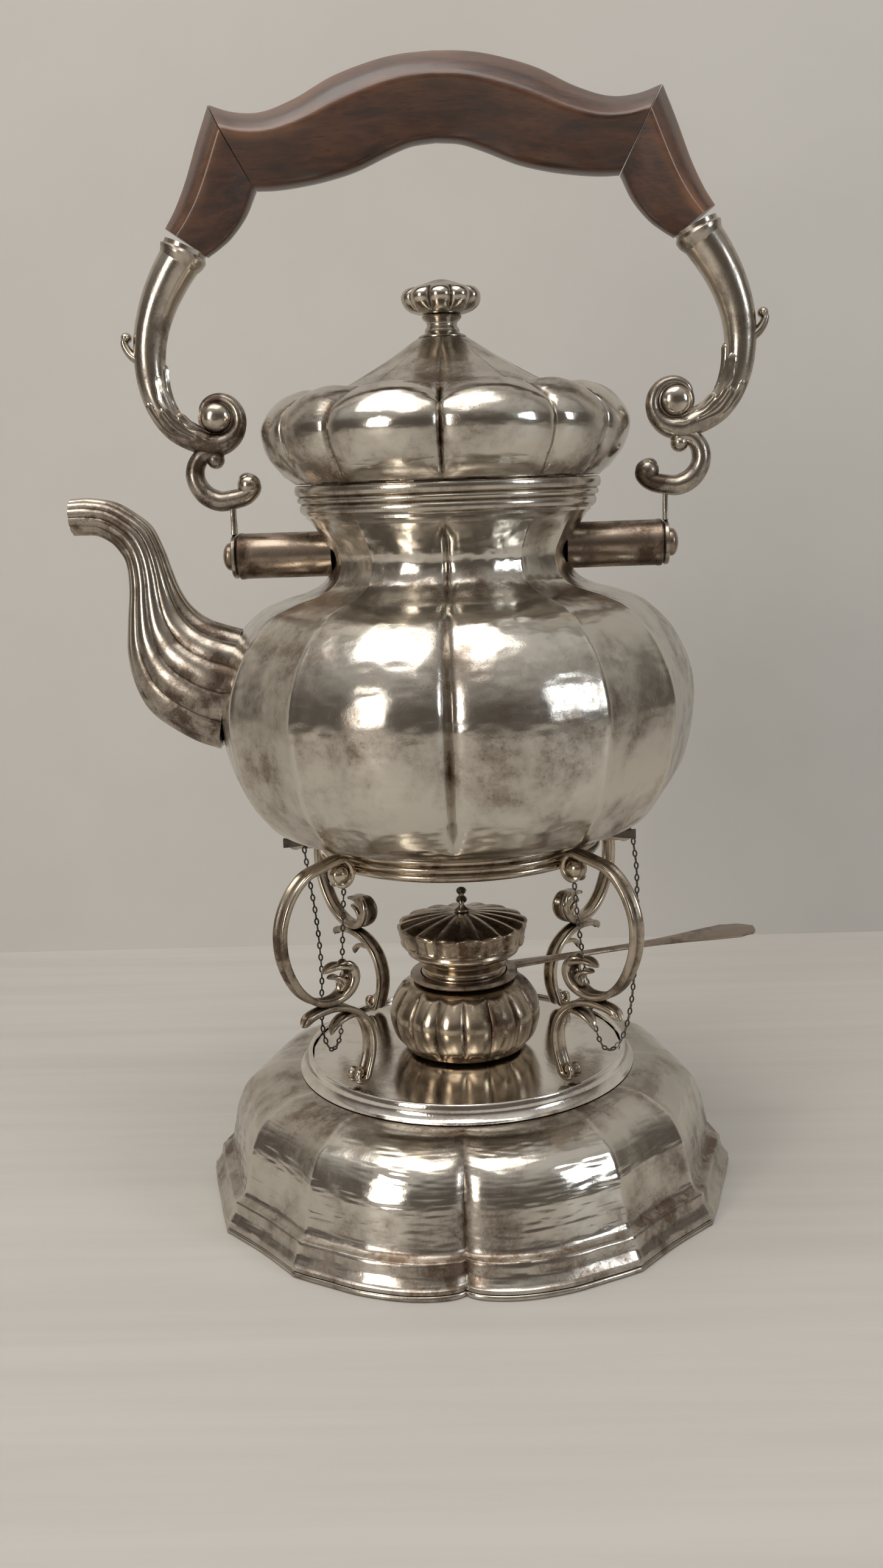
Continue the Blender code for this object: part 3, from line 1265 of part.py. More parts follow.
def make_burner():
    """The fluted bowl, its neck, wick and lever."""
    outer = scaled(BOWL_PROFILE_SHARES, BOWL_RADIUS, BOWL_HEIGHT, BOWL_BOTTOM)
    floor = BOWL_BOTTOM + BOWL_WALL
    walls = scaled(BOWL_WALL_SHARES, BOWL_RADIUS, BOWL_HEIGHT, BOWL_BOTTOM)
    inner = [(r - BOWL_WALL * BOWL_SIDE_SHARE, max(z - BOWL_WALL, floor)) for r, z in reversed(walls)]
    bowl = outer + [(0, BOWL_BOTTOM), (0, floor)] + inner + [(outer[0][0], outer[0][1] - BOWL_WALL)]
    shell = as_mesh_object(lathe("burner_bowl", bowl, BOWL_STEPS))
    shape_flutes(shell.data, BOWL_LOBES, BOWL_LOBE_SHARE, bowl_strength)
    smooth_shade(shell.data)
    place(shell, COPPER)

    bore = WICK_TUBE_RADIUS + GAP
    neck = scaled(NECK_PROFILE_SHARES, NECK_RADIUS, NECK_HEIGHT, NECK_BOTTOM)
    neck = [(bore, neck[0][1])] + neck + [(bore, NECK_BOTTOM)]
    place(lathe("burner_neck", neck, SMALL_STEPS), COPPER)

    low = BOWL_BOTTOM + BOWL_WALL
    hole = WICK_RADIUS + GAP
    top = NECK_TOP + WICK_TUBE_RISE
    pipe = [(hole, top), (WICK_TUBE_RADIUS, top), (WICK_TUBE_RADIUS, NECK_BOTTOM),
            (hole, NECK_BOTTOM)]
    place(lathe("wick_tube", pipe, SMALL_STEPS), COPPER)
    wick = [(0, top + WICK_RISE), (WICK_RADIUS * WICK_TIP_SHARE, top + WICK_RISE), (WICK_RADIUS, top),
            (WICK_RADIUS, low + GAP), (0, low + GAP)]
    place(lathe("wick", wick, WICK_STEPS), COTTON)
    make_lever()


def make_lever():
    """The flat lever that the burner is drawn out by, on a ring round the neck."""
    hole = NECK_RADIUS + GAP
    ring_radius = hole + LEVER_RING_WIDTH
    start = hole + LEVER_RING_WIDTH / 2
    span = LEVER_REACH - start
    upper = smooth_path([(start + x * span, w * LEVER_HALF_WIDTH) for x, w in LEVER_SHARES], 2)
    lower = upper[:-1][::-1] * np.array([1, -1])
    blade = as_mesh_object(plate("burner_lever", [np.vstack([upper, lower])], LEVER_THICKNESS))
    rings = [circle_points(ring_radius, SMALL_STEPS), circle_points(hole, SMALL_STEPS)]
    ring = as_mesh_object(plate("ring", rings, LEVER_THICKNESS))
    height = NECK_BOTTOM + LEVER_THICKNESS / 2
    turn = (0, 0, math.radians(LEVER_ANGLE))
    place(joined(blade, [ring]), SILVER, location=(0, 0, height), rotation=turn)


def cap_strength(radius, height):
    """The cap's pleats are full at its band and fade towards its middle."""
    return ease(radius, CAP_RADIUS * PLEAT_SHARES[0], CAP_RADIUS * PLEAT_SHARES[1])


def make_snuffer():
    """The pleated cap that puts the flame out, with its sleeve and finial."""
    top = CAP_TOP
    band = CAP_BOTTOM + CAP_BAND_HEIGHT
    sleeve = NECK_RADIUS * NECK_PROFILE_SHARES[0][0] + GAP
    low = CAP_BOTTOM
    thin = BOWL_WALL
    wide = CAP_RADIUS * CAP_LOW_SHARE
    crown = [(CAP_RADIUS * r, top - CAP_DOME_HEIGHT * drop) for r, drop in CAP_CROWN_SHARES]
    cap = [(0, top), *crown,
           (CAP_RADIUS, band - thin), (wide, low), (wide - thin, low),
           (wide - thin, band - thin * 2), (sleeve + thin, band - thin), (sleeve + thin, low),
           (sleeve, low), (sleeve, band - thin), (0, band - thin)]
    shell = as_mesh_object(lathe("snuffer_cap", cap, BOWL_STEPS))
    shape_flutes(shell.data, CAP_LOBES, CAP_LOBE_SHARE, cap_strength)
    smooth_shade(shell.data)
    place(shell, COPPER)
    finial = scaled(FINIAL_SHARES, FINIAL_RADIUS, FINIAL_HEIGHT, top + GAP)
    place(lathe("snuffer_finial", finial, BOSS_STEPS), SILVER)


make_base()
make_stand()
make_kettle()
make_lid()
make_handle()
make_hinges()
make_burner()
make_snuffer()
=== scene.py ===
import math

import bmesh
import bpy
import numpy as np
from mathutils import Matrix, Vector


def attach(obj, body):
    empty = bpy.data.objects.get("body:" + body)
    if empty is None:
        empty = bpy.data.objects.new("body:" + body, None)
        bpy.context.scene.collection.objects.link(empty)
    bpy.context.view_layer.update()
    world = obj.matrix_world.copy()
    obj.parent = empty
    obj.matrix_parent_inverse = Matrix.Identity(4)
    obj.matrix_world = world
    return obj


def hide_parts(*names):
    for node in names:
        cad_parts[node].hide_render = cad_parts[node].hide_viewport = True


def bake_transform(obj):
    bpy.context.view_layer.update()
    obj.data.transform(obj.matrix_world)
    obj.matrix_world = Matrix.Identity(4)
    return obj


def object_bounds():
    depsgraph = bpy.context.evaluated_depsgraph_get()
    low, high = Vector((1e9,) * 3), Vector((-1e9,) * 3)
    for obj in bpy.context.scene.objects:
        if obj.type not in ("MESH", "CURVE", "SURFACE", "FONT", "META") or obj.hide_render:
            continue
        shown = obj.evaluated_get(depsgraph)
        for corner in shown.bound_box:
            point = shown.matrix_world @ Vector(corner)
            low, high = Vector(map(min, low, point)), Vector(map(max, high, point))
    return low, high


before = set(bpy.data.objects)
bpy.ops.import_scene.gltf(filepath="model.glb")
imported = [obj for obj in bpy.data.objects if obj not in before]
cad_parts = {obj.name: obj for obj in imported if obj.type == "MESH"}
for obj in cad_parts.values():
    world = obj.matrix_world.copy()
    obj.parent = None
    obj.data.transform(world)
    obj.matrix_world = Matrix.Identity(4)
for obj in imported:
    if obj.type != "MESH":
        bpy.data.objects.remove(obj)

# The CAD model's box; the spout is held within its left end
CAD_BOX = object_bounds()

# Where the kettle stands: its axis, and the heights that its pieces meet at
AXIS_X = 0.0088968
SHELL_BOTTOM = 0.0025
PLATE_TOP = 0.0511
COLLAR_BOTTOM, COLLAR_TOP = 0.0467, 0.0527
RING_BOTTOM, RING_TOP = 0.1305, 0.1392
BODY_BOTTOM, MOUTH_BOTTOM, MOUTH_TOP = 0.1396, 0.2536, 0.2664
LID_BOTTOM, LID_TOP = 0.2669, 0.3157
TRUNNION_Z = 0.2420

# Raised work in silver: one rule of seams and panels for base, body and lid
BASE_RADIUS, BASE_HEIGHT = 0.1020, 0.0439
BODY_RADIUS, BODY_HEIGHT = 0.0885, 0.1140
LID_RADIUS, LID_HEIGHT = 0.0660, 0.0488
COLLAR_RADIUS = 0.0597
MOUTH_RADIUS = 0.0515
RING_RADIUS, RING_WIDTH = 0.0530, 0.0052
WALL = 0.0013
SEAMS = (0.0, 36.0, 60.0, 90.0)
COLUMNS = 540

BASE_SHARES = (
    (0.626, 1.000), (0.690, 0.990), (0.745, 0.965), (0.835, 0.840), (0.885, 0.640),
    (0.908, 0.420), (0.925, 0.260), (0.945, 0.222), (0.962, 0.205), (0.972, 0.110), (0.990, 0.040),
)
BODY_SHARES = (
    (0.582, 1.012), (0.563, 1.000), (0.523, 0.945), (0.491, 0.880), (0.518, 0.815), (0.590, 0.780),
    (0.695, 0.756), (0.805, 0.716), (0.920, 0.622), (0.992, 0.490), (0.998, 0.360),
    (0.955, 0.200), (0.862, 0.088), (0.750, 0.022), (0.550, 0.000),
)
LID_SHARES = (
    (0.140, 1.000), (0.300, 0.865), (0.520, 0.700), (0.618, 0.652), (0.655, 0.640), (0.700, 0.652),
    (0.790, 0.650), (0.915, 0.570), (0.998, 0.400), (0.975, 0.215), (0.900, 0.080), (0.828, 0.000),
)

# Ornament and small turned work
KNOB_RADIUS, KNOB_HEIGHT, KNOB_BOTTOM, KNOB_LOBES = 0.0144, 0.0122, 0.3237, 10
BOWL_RADIUS, BOWL_HEIGHT, BOWL_BOTTOM, BOWL_LOBES = 0.0290, 0.0280, 0.0514, 16
NECK_RADIUS, NECK_HEIGHT, NECK_BOTTOM = 0.0165, 0.0130, 0.0797
CAP_RADIUS, CAP_BOTTOM, CAP_BAND_TOP, CAP_TOP = 0.0251, 0.0930, 0.1020, 0.1052
CAP_LOBES = 16

# Spout: upper and lower edge and half width, as shares of its reach and rise
SPOUT_REACH, SPOUT_LOW, SPOUT_RISE = 0.1374, 0.1680, 0.0970
SPOUT_STATIONS = np.array((
    (0.560, 0.490, 0.640, 0.030, 0.129), (0.612, 0.512, 0.706, 0.065, 0.128),
    (0.648, 0.531, 0.787, 0.136, 0.118), (0.677, 0.557, 0.836, 0.205, 0.105),
    (0.702, 0.593, 0.866, 0.305, 0.092), (0.720, 0.634, 0.877, 0.412, 0.082),
    (0.734, 0.680, 0.871, 0.531, 0.073), (0.746, 0.732, 0.861, 0.649, 0.067),
    (0.762, 0.804, 0.863, 0.747, 0.060), (0.788, 0.886, 0.878, 0.794, 0.056),
    (0.828, 0.936, 0.901, 0.831, 0.054), (0.881, 0.981, 0.935, 0.856, 0.053),
    (0.946, 1.000, 0.968, 0.859, 0.053), (1.000, 0.999, 0.996, 0.860, 0.054),
))
SPOUT_RIBS = 12

# Handle: shares of its half span and of its rise above the screws
HANDLE_SPAN, HANDLE_RISE = 0.0956, 0.1680
GRIP_TOP = (
    (0.000, 1.000), (0.110, 0.997), (0.220, 0.986), (0.366, 0.960), (0.500, 0.922),
    (0.622, 0.899), (0.725, 0.901), (0.813, 0.917),
)
GRIP_UNDER = (
    (0.000, 0.827), (0.088, 0.822), (0.175, 0.805), (0.290, 0.778), (0.400, 0.762),
    (0.500, 0.753), (0.590, 0.748), (0.659, 0.748),
)
GRIP_END_TOP = ((0.813, 0.917), (0.862, 0.850), (0.912, 0.775), (0.958, 0.720), (1.000, 0.682))
GRIP_END_UNDER = ((0.659, 0.748), (0.700, 0.700), (0.757, 0.660), (0.806, 0.638), (0.850, 0.622))
ARM_PATH = (
    (0.930, 0.648), (0.950, 0.625), (1.000, 0.583), (1.050, 0.530), (1.085, 0.470),
    (1.096, 0.410), (1.085, 0.352), (1.050, 0.303), (0.995, 0.268), (0.925, 0.252),
)
ARM_STATIONS = (0.00, 0.10, 0.25, 0.40, 0.52, 0.64, 0.72, 0.80, 0.90, 1.00)
ARM_RADII = (0.0078, 0.0072, 0.0062, 0.0054, 0.0050, 0.0046, 0.0040, 0.0026, 0.0019, 0.0014)
ARM_LEAVES = (
    (0.365, 0.60, 0.0, 1.0), (0.40, 0.62, 0.85, 1.0), (0.50, 0.70, 1.45, 0.95), (0.54, 0.74, 0.45, 0.9),
    (0.66, 0.80, 1.30, 0.8), (0.47, 0.62, 2.2, 0.8),
)
ARM_VOLUTE = (0.858, 0.295)
THUMB_PATH = ((1.085, 0.396), (1.125, 0.415), (1.165, 0.432), (1.186, 0.455), (1.172, 0.472))
BRACKET_PATH = (
    (0.866, 0.204), (0.868, 0.219), (0.889, 0.222), (0.924, 0.215), (0.950, 0.192),
    (0.950, 0.163), (0.920, 0.135), (0.868, 0.120), (0.815, 0.122), (0.763, 0.130),
    (0.736, 0.147), (0.758, 0.162), (0.784, 0.154),
)

BRACKET_CURL, BRACKET_BALL = (0.872, 0.207), (0.751, 0.151)

# Legs, in each leg's own upright plane
LEG_NAMES = ("back_right", "back_left", "front_left", "front_right")
LEG_REACH, UPPER_SCROLL_HEIGHT = 0.0872, 0.0510
LEG_WIDTH, LEG_THICKNESS = 0.0062, 0.0031
UPPER_SHARES = (
    (0.770, 0.985), (0.855, 0.945), (0.930, 0.830), (0.978, 0.660), (0.985, 0.480),
    (0.960, 0.310), (0.905, 0.150), (0.825, 0.045), (0.735, 0.022), (0.668, 0.075),
    (0.640, 0.170), (0.662, 0.250), (0.706, 0.255),
)
LOWER_SHARES = (
    (0.900, 0.880), (0.870, 0.965), (0.810, 1.000), (0.740, 1.000), (0.660, 0.930),
    (0.592, 0.780), (0.560, 0.570), (0.562, 0.360),
)
FOOT_VOLUTE_RADIUS, UPPER_VOLUTE_RADIUS = 0.0047, 0.0062

LEG_LEAF = ((0.650, 0.120), (0.640, 0.190), (0.672, 0.240), (0.730, 0.262), (0.790, 0.235))
LEG_SPUR = ((0.700, 0.060), (0.690, 0.130), (0.715, 0.180), (0.765, 0.190))
FOOT_LEAF = ((0.600, 0.800), (0.640, 0.860), (0.700, 0.850), (0.745, 0.780), (0.760, 0.690))

# Chains: routes of the CAD's chains, from the stand's axis, and the size of a link
CHAIN_ROUTES = {
    "left": (
        (-0.0581, -0.0076, 0.1326), (-0.0565, -0.0085, 0.1200), (-0.0545, -0.0105, 0.1050),
        (-0.0535, -0.0120, 0.0860), (-0.0542, -0.0135, 0.0700), (-0.0530, -0.0165, 0.0610),
        (-0.0500, -0.0200, 0.0580), (-0.0465, -0.0235, 0.0640), (-0.0450, -0.0260, 0.0750),
        (-0.0434, -0.0275, 0.1000), (-0.0416, -0.0285, 0.1240),
    ),
    "right": (
        (0.0649, -0.0076, 0.1326), (0.0660, -0.0085, 0.1200), (0.0654, -0.0105, 0.1000),
        (0.0640, -0.0130, 0.0800), (0.0620, -0.0160, 0.0680), (0.0588, -0.0200, 0.0600),
        (0.0548, -0.0235, 0.0572), (0.0510, -0.0262, 0.0600), (0.0480, -0.0278, 0.0700),
        (0.0450, -0.0282, 0.0900), (0.0428, -0.0284, 0.1080), (0.0416, -0.0285, 0.1240),
    ),
}
LINK_PITCH, LINK_HALF_LENGTH, LINK_HALF_WIDTH, LINK_WIRE = 0.0023, 0.0015, 0.0010, 0.00034


# Surfaces


def ease(value, low, high):
    """Rises smoothly from 0 at low to 1 at high: 3t^2 - 2t^3."""
    t = np.clip((value - low) / (high - low), 0, 1)
    return t * t * (3 - 2 * t)


def curve_at(knots, t):
    """A Catmull-Rom curve through knots, at parameters t that count whole knots."""
    knots = np.asarray(knots, float)
    ends = np.vstack([2 * knots[0] - knots[1], knots, 2 * knots[-1] - knots[-2]])
    i = np.clip(np.floor(t).astype(int), 0, len(knots) - 2)
    u = (t - i)[:, None]
    a, b, c, d = ends[i], ends[i + 1], ends[i + 2], ends[i + 3]
    return 0.5 * (2 * b + (c - a) * u + (2 * a - 5 * b + 4 * c - d) * u ** 2
                  + (3 * b - a - 3 * c + d) * u ** 3)


def moved_in(profile, distance):
    """A profile that runs down the outside, moved to its inner side along its own normals."""
    ahead = np.gradient(profile, axis=0)
    ahead /= np.linalg.norm(ahead, axis=1)[:, None]
    return profile - np.stack([-ahead[:, 1], ahead[:, 0]], 1) * distance


def through(knots, count):
    """The same curve cut into even lengths: count points."""
    curve = curve_at(knots, np.linspace(0, len(knots) - 1, 24 * len(knots)))
    run = np.append(0, np.cumsum(np.linalg.norm(np.diff(curve, axis=0), axis=1)))
    marks = np.linspace(0, run[-1], count)
    return np.stack([np.interp(marks, run, column) for column in curve.T], 1)


def along(values, count):
    """Values spread evenly over a number of rows, smoothly between them."""
    return curve_at(np.asarray(values, float)[:, None], np.linspace(0, len(values) - 1, count))[:, 0]


def scaled(shares, width, height, base=0.0):
    """Profile points from shares of a width and of a height above a base."""
    return np.asarray(shares, float) * (width, height) + (0, base)


def spiral(centre, start, turn, first, last, count):
    """Points that wind round a centre, their radius changing evenly, angles in degrees."""
    share = np.linspace(0, 1, count)
    angle = np.radians(start + turn * share)
    radius = first + (last - first) * share
    return np.stack([centre[0] + radius * np.cos(angle), centre[1] + radius * np.sin(angle)], 1)


def beads(radius, top, low, count, depth, steps=10):
    """The moulded side of a ring: half-round beads down a straight line."""
    share = np.linspace(0, 1, count * steps + 1)
    return np.stack([radius + depth * np.abs(np.sin(math.pi * count * share)) ** 0.8,
                     top + (low - top) * share], 1)


def quads(rows, columns, close_rows, close_columns):
    """The faces of a grid, whose rows and columns may each run round to their start."""
    i = np.arange(rows if close_rows else rows - 1)[:, None]
    j = np.arange(columns if close_columns else columns - 1)[None]
    k, m = (i + 1) % rows, (j + 1) % columns
    corners = (i * columns + j, i * columns + m, k * columns + m, k * columns + j)
    return np.stack([np.broadcast_to(c, (i.size, j.size)).ravel() for c in corners], 1)


def volume_of(points, faces):
    """Six times the signed volume inside quads: each quad is two triangles from the origin."""
    a, b, c, d = (points[faces[:, n]] for n in range(4))
    return np.einsum("ij,ij->", a, np.cross(b, c)) + np.einsum("ij,ij->", a, np.cross(c, d))


def new_piece(name, grids, material, body, replaces=(), sharp=38.0):
    """One piece from grids of points, each (points, close rows, close columns, share of tarnishing and
    painted light or None).
    """
    places, faces, tarnish_wear_and_painted_light, count = [], [], [], 0
    for points, close_rows, close_columns, tarnish_and_painted_light in grids:
        rows, columns = points.shape[:2]
        flat = points.reshape(-1, 3)
        net = quads(rows, columns, close_rows, close_columns)
        if volume_of(flat - flat.mean(0), net) < 0:
            net = net[:, ::-1]
        places.append(flat)
        faces.append(net + count)
        tarnish_wear_and_painted_light.append(np.zeros(len(flat)) if tarnish_and_painted_light is None else np.broadcast_to(tarnish_and_painted_light,
                (rows, columns)).ravel())
        count += len(flat)
    places, faces, tarnish_wear_and_painted_light = np.vstack(places), np.vstack(faces), np.concatenate(tarnish_wear_and_painted_light)
    mesh = bpy.data.meshes.new(name)
    mesh.from_pydata(places, [], faces)
    # Each point's share sets the finish: in silver it is tarnishing plus painted shade in creases and
    # grooves, painted highlight lines on ridges and a painted reflection band; in wood it is a painted
    # highlight mixed with wear.
    layer = mesh.attributes.new("tarnish_wear_and_painted_light", "FLOAT", "POINT")
    layer.data.foreach_set("value", tarnish_wear_and_painted_light.astype(np.float32))
    shape = bmesh.new()
    shape.from_mesh(mesh)
    bmesh.ops.remove_doubles(shape, verts=shape.verts, dist=0.000002)
    bmesh.ops.dissolve_degenerate(shape, edges=shape.edges, dist=0.000001)
    shape.to_mesh(mesh)
    shape.free()
    mesh.shade_smooth()
    mesh.set_sharp_from_angle(angle=math.radians(sharp))
    mesh.materials.append(material)
    piece = bpy.data.objects.new(name, mesh)
    bpy.context.scene.collection.objects.link(piece)
    if body:
        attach(piece, body)
    if replaces:
        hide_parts(*replaces)
    return piece


def turned(profile, columns=160, centre=(AXIS_X, 0.0), rule=None):
    """A profile of (radius, height) turned round an upright axis; a rule may change both.

    Angles are in degrees from the front: x = r sin a, y = -r cos a.
    """
    angle = np.linspace(0, 360, columns, endpoint=False)[None]
    profile = np.asarray(profile, float)
    r = np.repeat(profile[:, :1], columns, 1)
    z = np.repeat(profile[:, 1:], columns, 1)
    if rule:
        r, z = rule(r, z, angle)
    a = np.radians(angle)
    return np.stack([centre[0] + r * np.sin(a), centre[1] - r * np.cos(a), z + 0 * a], 2)


def turned_along_x(profile, sign, columns=96, z=TRUNNION_Z):
    """A profile of (radius, reach) turned round a level axis that points left or right."""
    a = np.radians(np.linspace(0, 360, columns, endpoint=False))[None]
    profile = np.asarray(profile, float)
    r, reach = profile[:, :1], profile[:, 1:]
    return np.stack([AXIS_X + sign * reach + 0 * a, r * np.sin(a), z + r * np.cos(a)], 2)


def swept(path, across, section, scale):
    """A section carried along a flat path.

    Its first share goes along the level direction across, its second along the
    path's own side, and each row has its own scale.
    """
    path, across = np.asarray(path, float), np.asarray(across, float)
    ahead = np.gradient(path, axis=0)
    side = np.cross(ahead, across)
    side /= np.linalg.norm(side, axis=1)[:, None]
    scale = np.asarray(scale, float)
    if scale.ndim == 1:
        scale = np.stack([scale, scale], 1)
    return (path[:, None] + section[None, :, :1] * scale[:, None, :1] * across
            + section[None, :, 1:] * scale[:, None, 1:] * side[:, None])


def round_section(radius, count=24):
    """A circle."""
    a = np.linspace(0, 2 * math.pi, count, endpoint=False)
    return np.stack([radius * np.cos(a), radius * np.sin(a)], 1)


def strap_section(width, thickness, count=44):
    """A strap with a round bead along each edge and a hollow channel between them on each face."""
    a = np.linspace(0, 2 * math.pi, count, endpoint=False)
    c, s = np.cos(a), np.sin(a)
    across = width / 2 * np.sign(c) * np.abs(c) ** 0.72
    channel = 1 - 0.62 * np.exp(-(across / (0.24 * width)) ** 2)
    return np.stack([across, thickness / 2 * np.sign(s) * np.abs(s) ** 0.55 * channel], 1)


def round_ends(count, first=3, last=3):
    """Row scales that close both ends of a swept piece with a quarter round."""
    scale = np.ones(count)
    scale[:first + 1] = np.sqrt(1 - (1 - np.arange(first + 1) / first) ** 2)
    scale[-last - 1:] = np.sqrt(1 - (np.arange(last + 1) / last) ** 2)
    return scale


def dents(angle, run, seed, count=22, low=10, high=34, depth=0.00011):
    """Planishing marks: a sum of waves of random direction over angle and run, in metres."""
    rng = np.random.default_rng(seed)
    around = rng.integers(low, high, count) * rng.choice([-1, 1], count)
    down = rng.uniform(low, high, count)
    phase = rng.uniform(0, 2 * math.pi, count)
    total = 0
    for n in range(count):
        total = total + np.cos(around[n] * np.radians(angle) + down[n] * run * 12 + phase[n])
    return depth * total / math.sqrt(count)


def folded_angle(angle):
    """An angle in degrees folded into the first quarter, counted from the front or the back."""
    folded = np.abs((angle + 180) % 360 - 180)
    return np.minimum(folded, 180 - folded)


def lobe_loss(angle):
    """The share of the radius that the lobes take at an angle in degrees from the front seam.

    The front and back seams are creases, the others are ridges, and the narrow panels
    sag between them.
    """
    wide, t = panel_share(angle)
    crease = 0.034 * np.maximum(0, 1 - t / 0.42) ** 2 + 0.020 * np.exp(-t / 0.045)
    shoulder = 0.006 * np.sin(math.pi * np.clip((t - 0.55) / 0.45, 0, 1)) ** 2
    loss = np.where(wide, crease + shoulder, 0.029 * np.sin(math.pi * t))
    return loss - 0.0026 * ridge_line(angle) + 0.0045


def panel_share(angle):
    """Whether an angle lies in a wide panel, and its share of the way across its panel."""
    folded = folded_angle(angle)
    wide = folded <= SEAMS[1]
    low = np.where(wide, SEAMS[0], np.where(folded <= SEAMS[2], SEAMS[1], SEAMS[2]))
    high = np.where(wide, SEAMS[1], np.where(folded <= SEAMS[2], SEAMS[2], SEAMS[3]))
    return wide, (folded - low) / (high - low)


def ridge_line(angle):
    """1 on the crest of a ridge, falling to 0 within a degree: a bell curve round each."""
    folded = folded_angle(angle)
    gap = np.min([np.abs(folded - seam) for seam in SEAMS[1:]], axis=0)
    return np.exp(-(gap / 0.75) ** 2)


def puffed_loss(angle):
    """The lid's own rule: every panel is a pillow, full in the middle, with a sharp groove at each seam."""
    t = panel_share(angle)[1]
    pillow = 1 - np.clip(4 * t * (1 - t), 0, 1) ** 0.42
    deep = np.where(np.abs((angle + 90) % 180 - 90) < 18, 0.075, 0.052)
    return deep * pillow


def crease_nearness(angle, width):
    """1 on the front and back creases, falling to 0 over a width in degrees on each side."""
    return np.exp(-(((angle + 90) % 180 - 90) / width) ** 2)


def seam_nearness(angle, width):
    """1 on a seam, falling to 0 over a width in degrees on each side."""
    folded = folded_angle(angle)
    gap = np.min([np.abs(folded - seam) for seam in SEAMS], axis=0)
    return np.exp(-(gap / width) ** 2)


# Finishes


def add_node(tree, kind, **inputs):
    """A node with its sockets set by name, or linked where the value is a socket."""
    node = tree.nodes.new(kind)
    for key, value in inputs.items():
        socket = node.inputs[key.replace("_", " ")]
        if isinstance(value, bpy.types.NodeSocket):
            tree.links.new(value, socket)
        else:
            socket.default_value = value
    return node


def maths(tree, operation, first, second, clamp=False):
    """One sum of two values or sockets."""
    node = tree.nodes.new("ShaderNodeMath")
    node.operation = operation
    node.use_clamp = clamp
    for socket, value in zip(node.inputs, (first, second)):
        if isinstance(value, bpy.types.NodeSocket):
            tree.links.new(value, socket)
        else:
            socket.default_value = value
    return node.outputs[0]


def blended(tree, factor, first, second):
    """One colour over another by a factor."""
    node = tree.nodes.new("ShaderNodeMix")
    node.data_type = "RGBA"
    for socket, value in zip((node.inputs[0], node.inputs[6], node.inputs[7]), (factor, first, second)):
        if isinstance(value, bpy.types.NodeSocket):
            tree.links.new(value, socket)
        else:
            socket.default_value = value if isinstance(value, float) else (*value, 1.0)
    return node.outputs[2]


def noise(tree, place, scale, detail, roughness=0.5, distortion=0.0):
    """Soft random clouds, from 0 to 1, of a scale and a depth of detail."""
    return add_node(tree, "ShaderNodeTexNoise", Vector=place, Scale=scale, Detail=detail,
                    Roughness=roughness, Distortion=distortion).outputs[0]


def spread(tree, value, low, high, to_low=0.0, to_high=1.0):
    """A value's range moved to another range, smoothly."""
    node = tree.nodes.new("ShaderNodeMapRange")
    node.interpolation_type = "SMOOTHSTEP"
    tree.links.new(value, node.inputs["Value"])
    for key, number in (("From Min", low), ("From Max", high), ("To Min", to_low), ("To Max", to_high)):
        node.inputs[key].default_value = number
    return node.outputs["Result"]


def new_finish(name):
    """An empty node material, its Principled shader and its object coordinates."""
    material = bpy.data.materials.new(name)
    material.use_nodes = True
    tree = material.node_tree
    place = tree.nodes.new("ShaderNodeTexCoord").outputs["Object"]
    return material, tree, tree.nodes["Principled BSDF"], place


def metal(name, light, dark, rough=(0.16, 0.42), cover=0.5, marks=0.0, scratches=0.25, speckle=0.5):
    """Old metal: bright where it is worn clean, brown where it is tarnished, with speckles and marks.
    The share that each point carries also holds painted shade, which browns creases and
    bands, and painted highlight, which brightens ridges.

    Cover is how much of the surface the tarnishing takes by itself, and marks the depth
    of the hammer's marks in millimetres.
    """
    material, tree, shader, place = new_finish(name)
    clouds = noise(tree, place, 34.0, 7.0, 0.62)
    patches = noise(tree, place, 95.0, 8.0, 0.7)
    pits = noise(tree, place, 900.0, 3.0, 0.6)
    # The per-point share: tarnishing, and also painted shade that browns the colour and painted highlight
    # that brightens it.
    held = tree.nodes.new("ShaderNodeAttribute")
    held.attribute_name = "tarnish_wear_and_painted_light"
    amount = maths(tree, "ADD", held.outputs["Fac"], cover - 0.5)
    ground = maths(tree, "ADD", spread(tree, clouds, 0.38, 0.68), amount)
    broken = maths(tree, "MULTIPLY", spread(tree, patches, 0.40, 0.62), 0.55)
    mask = maths(tree, "MULTIPLY", ground, maths(tree, "ADD", broken, 0.45), clamp=True)
    dots = maths(tree, "MULTIPLY", spread(tree, pits, 0.57, 0.66), maths(tree, "MULTIPLY", mask, speckle))
    shade = blended(tree, mask, light, dark)
    deep = tuple(0.35 * part for part in dark)
    tree.links.new(blended(tree, dots, shade, deep), shader.inputs["Base Color"])
    shader.inputs["Metallic"].default_value = 1.0
    tarnish_and_painted_light = maths(tree, "ADD", mask, maths(tree, "MULTIPLY", pits, 0.2))
    tree.links.new(spread(tree, tarnish_and_painted_light, 0.0, 1.1, *rough), shader.inputs["Roughness"])
    fine = noise(tree, place, 320.0, 6.0, 0.7)
    height = maths(tree, "MULTIPLY", fine, 0.00005 * scratches / 0.25)
    height = maths(tree, "SUBTRACT", height, maths(tree, "MULTIPLY", dots, 0.00004))
    if marks:
        cells = tree.nodes.new("ShaderNodeTexVoronoi")
        cells.feature = "SMOOTH_F1"
        cells.inputs["Scale"].default_value = 150.0
        cells.inputs["Smoothness"].default_value = 0.35
        tree.links.new(place, cells.inputs["Vector"])
        height = maths(tree, "ADD", height,
                       maths(tree, "MULTIPLY", cells.outputs["Distance"], marks * 0.001))
    bump = add_node(tree, "ShaderNodeBump", Height=height, Distance=1.0, Strength=1.0)
    tree.links.new(bump.outputs[0], shader.inputs["Normal"])
    return material


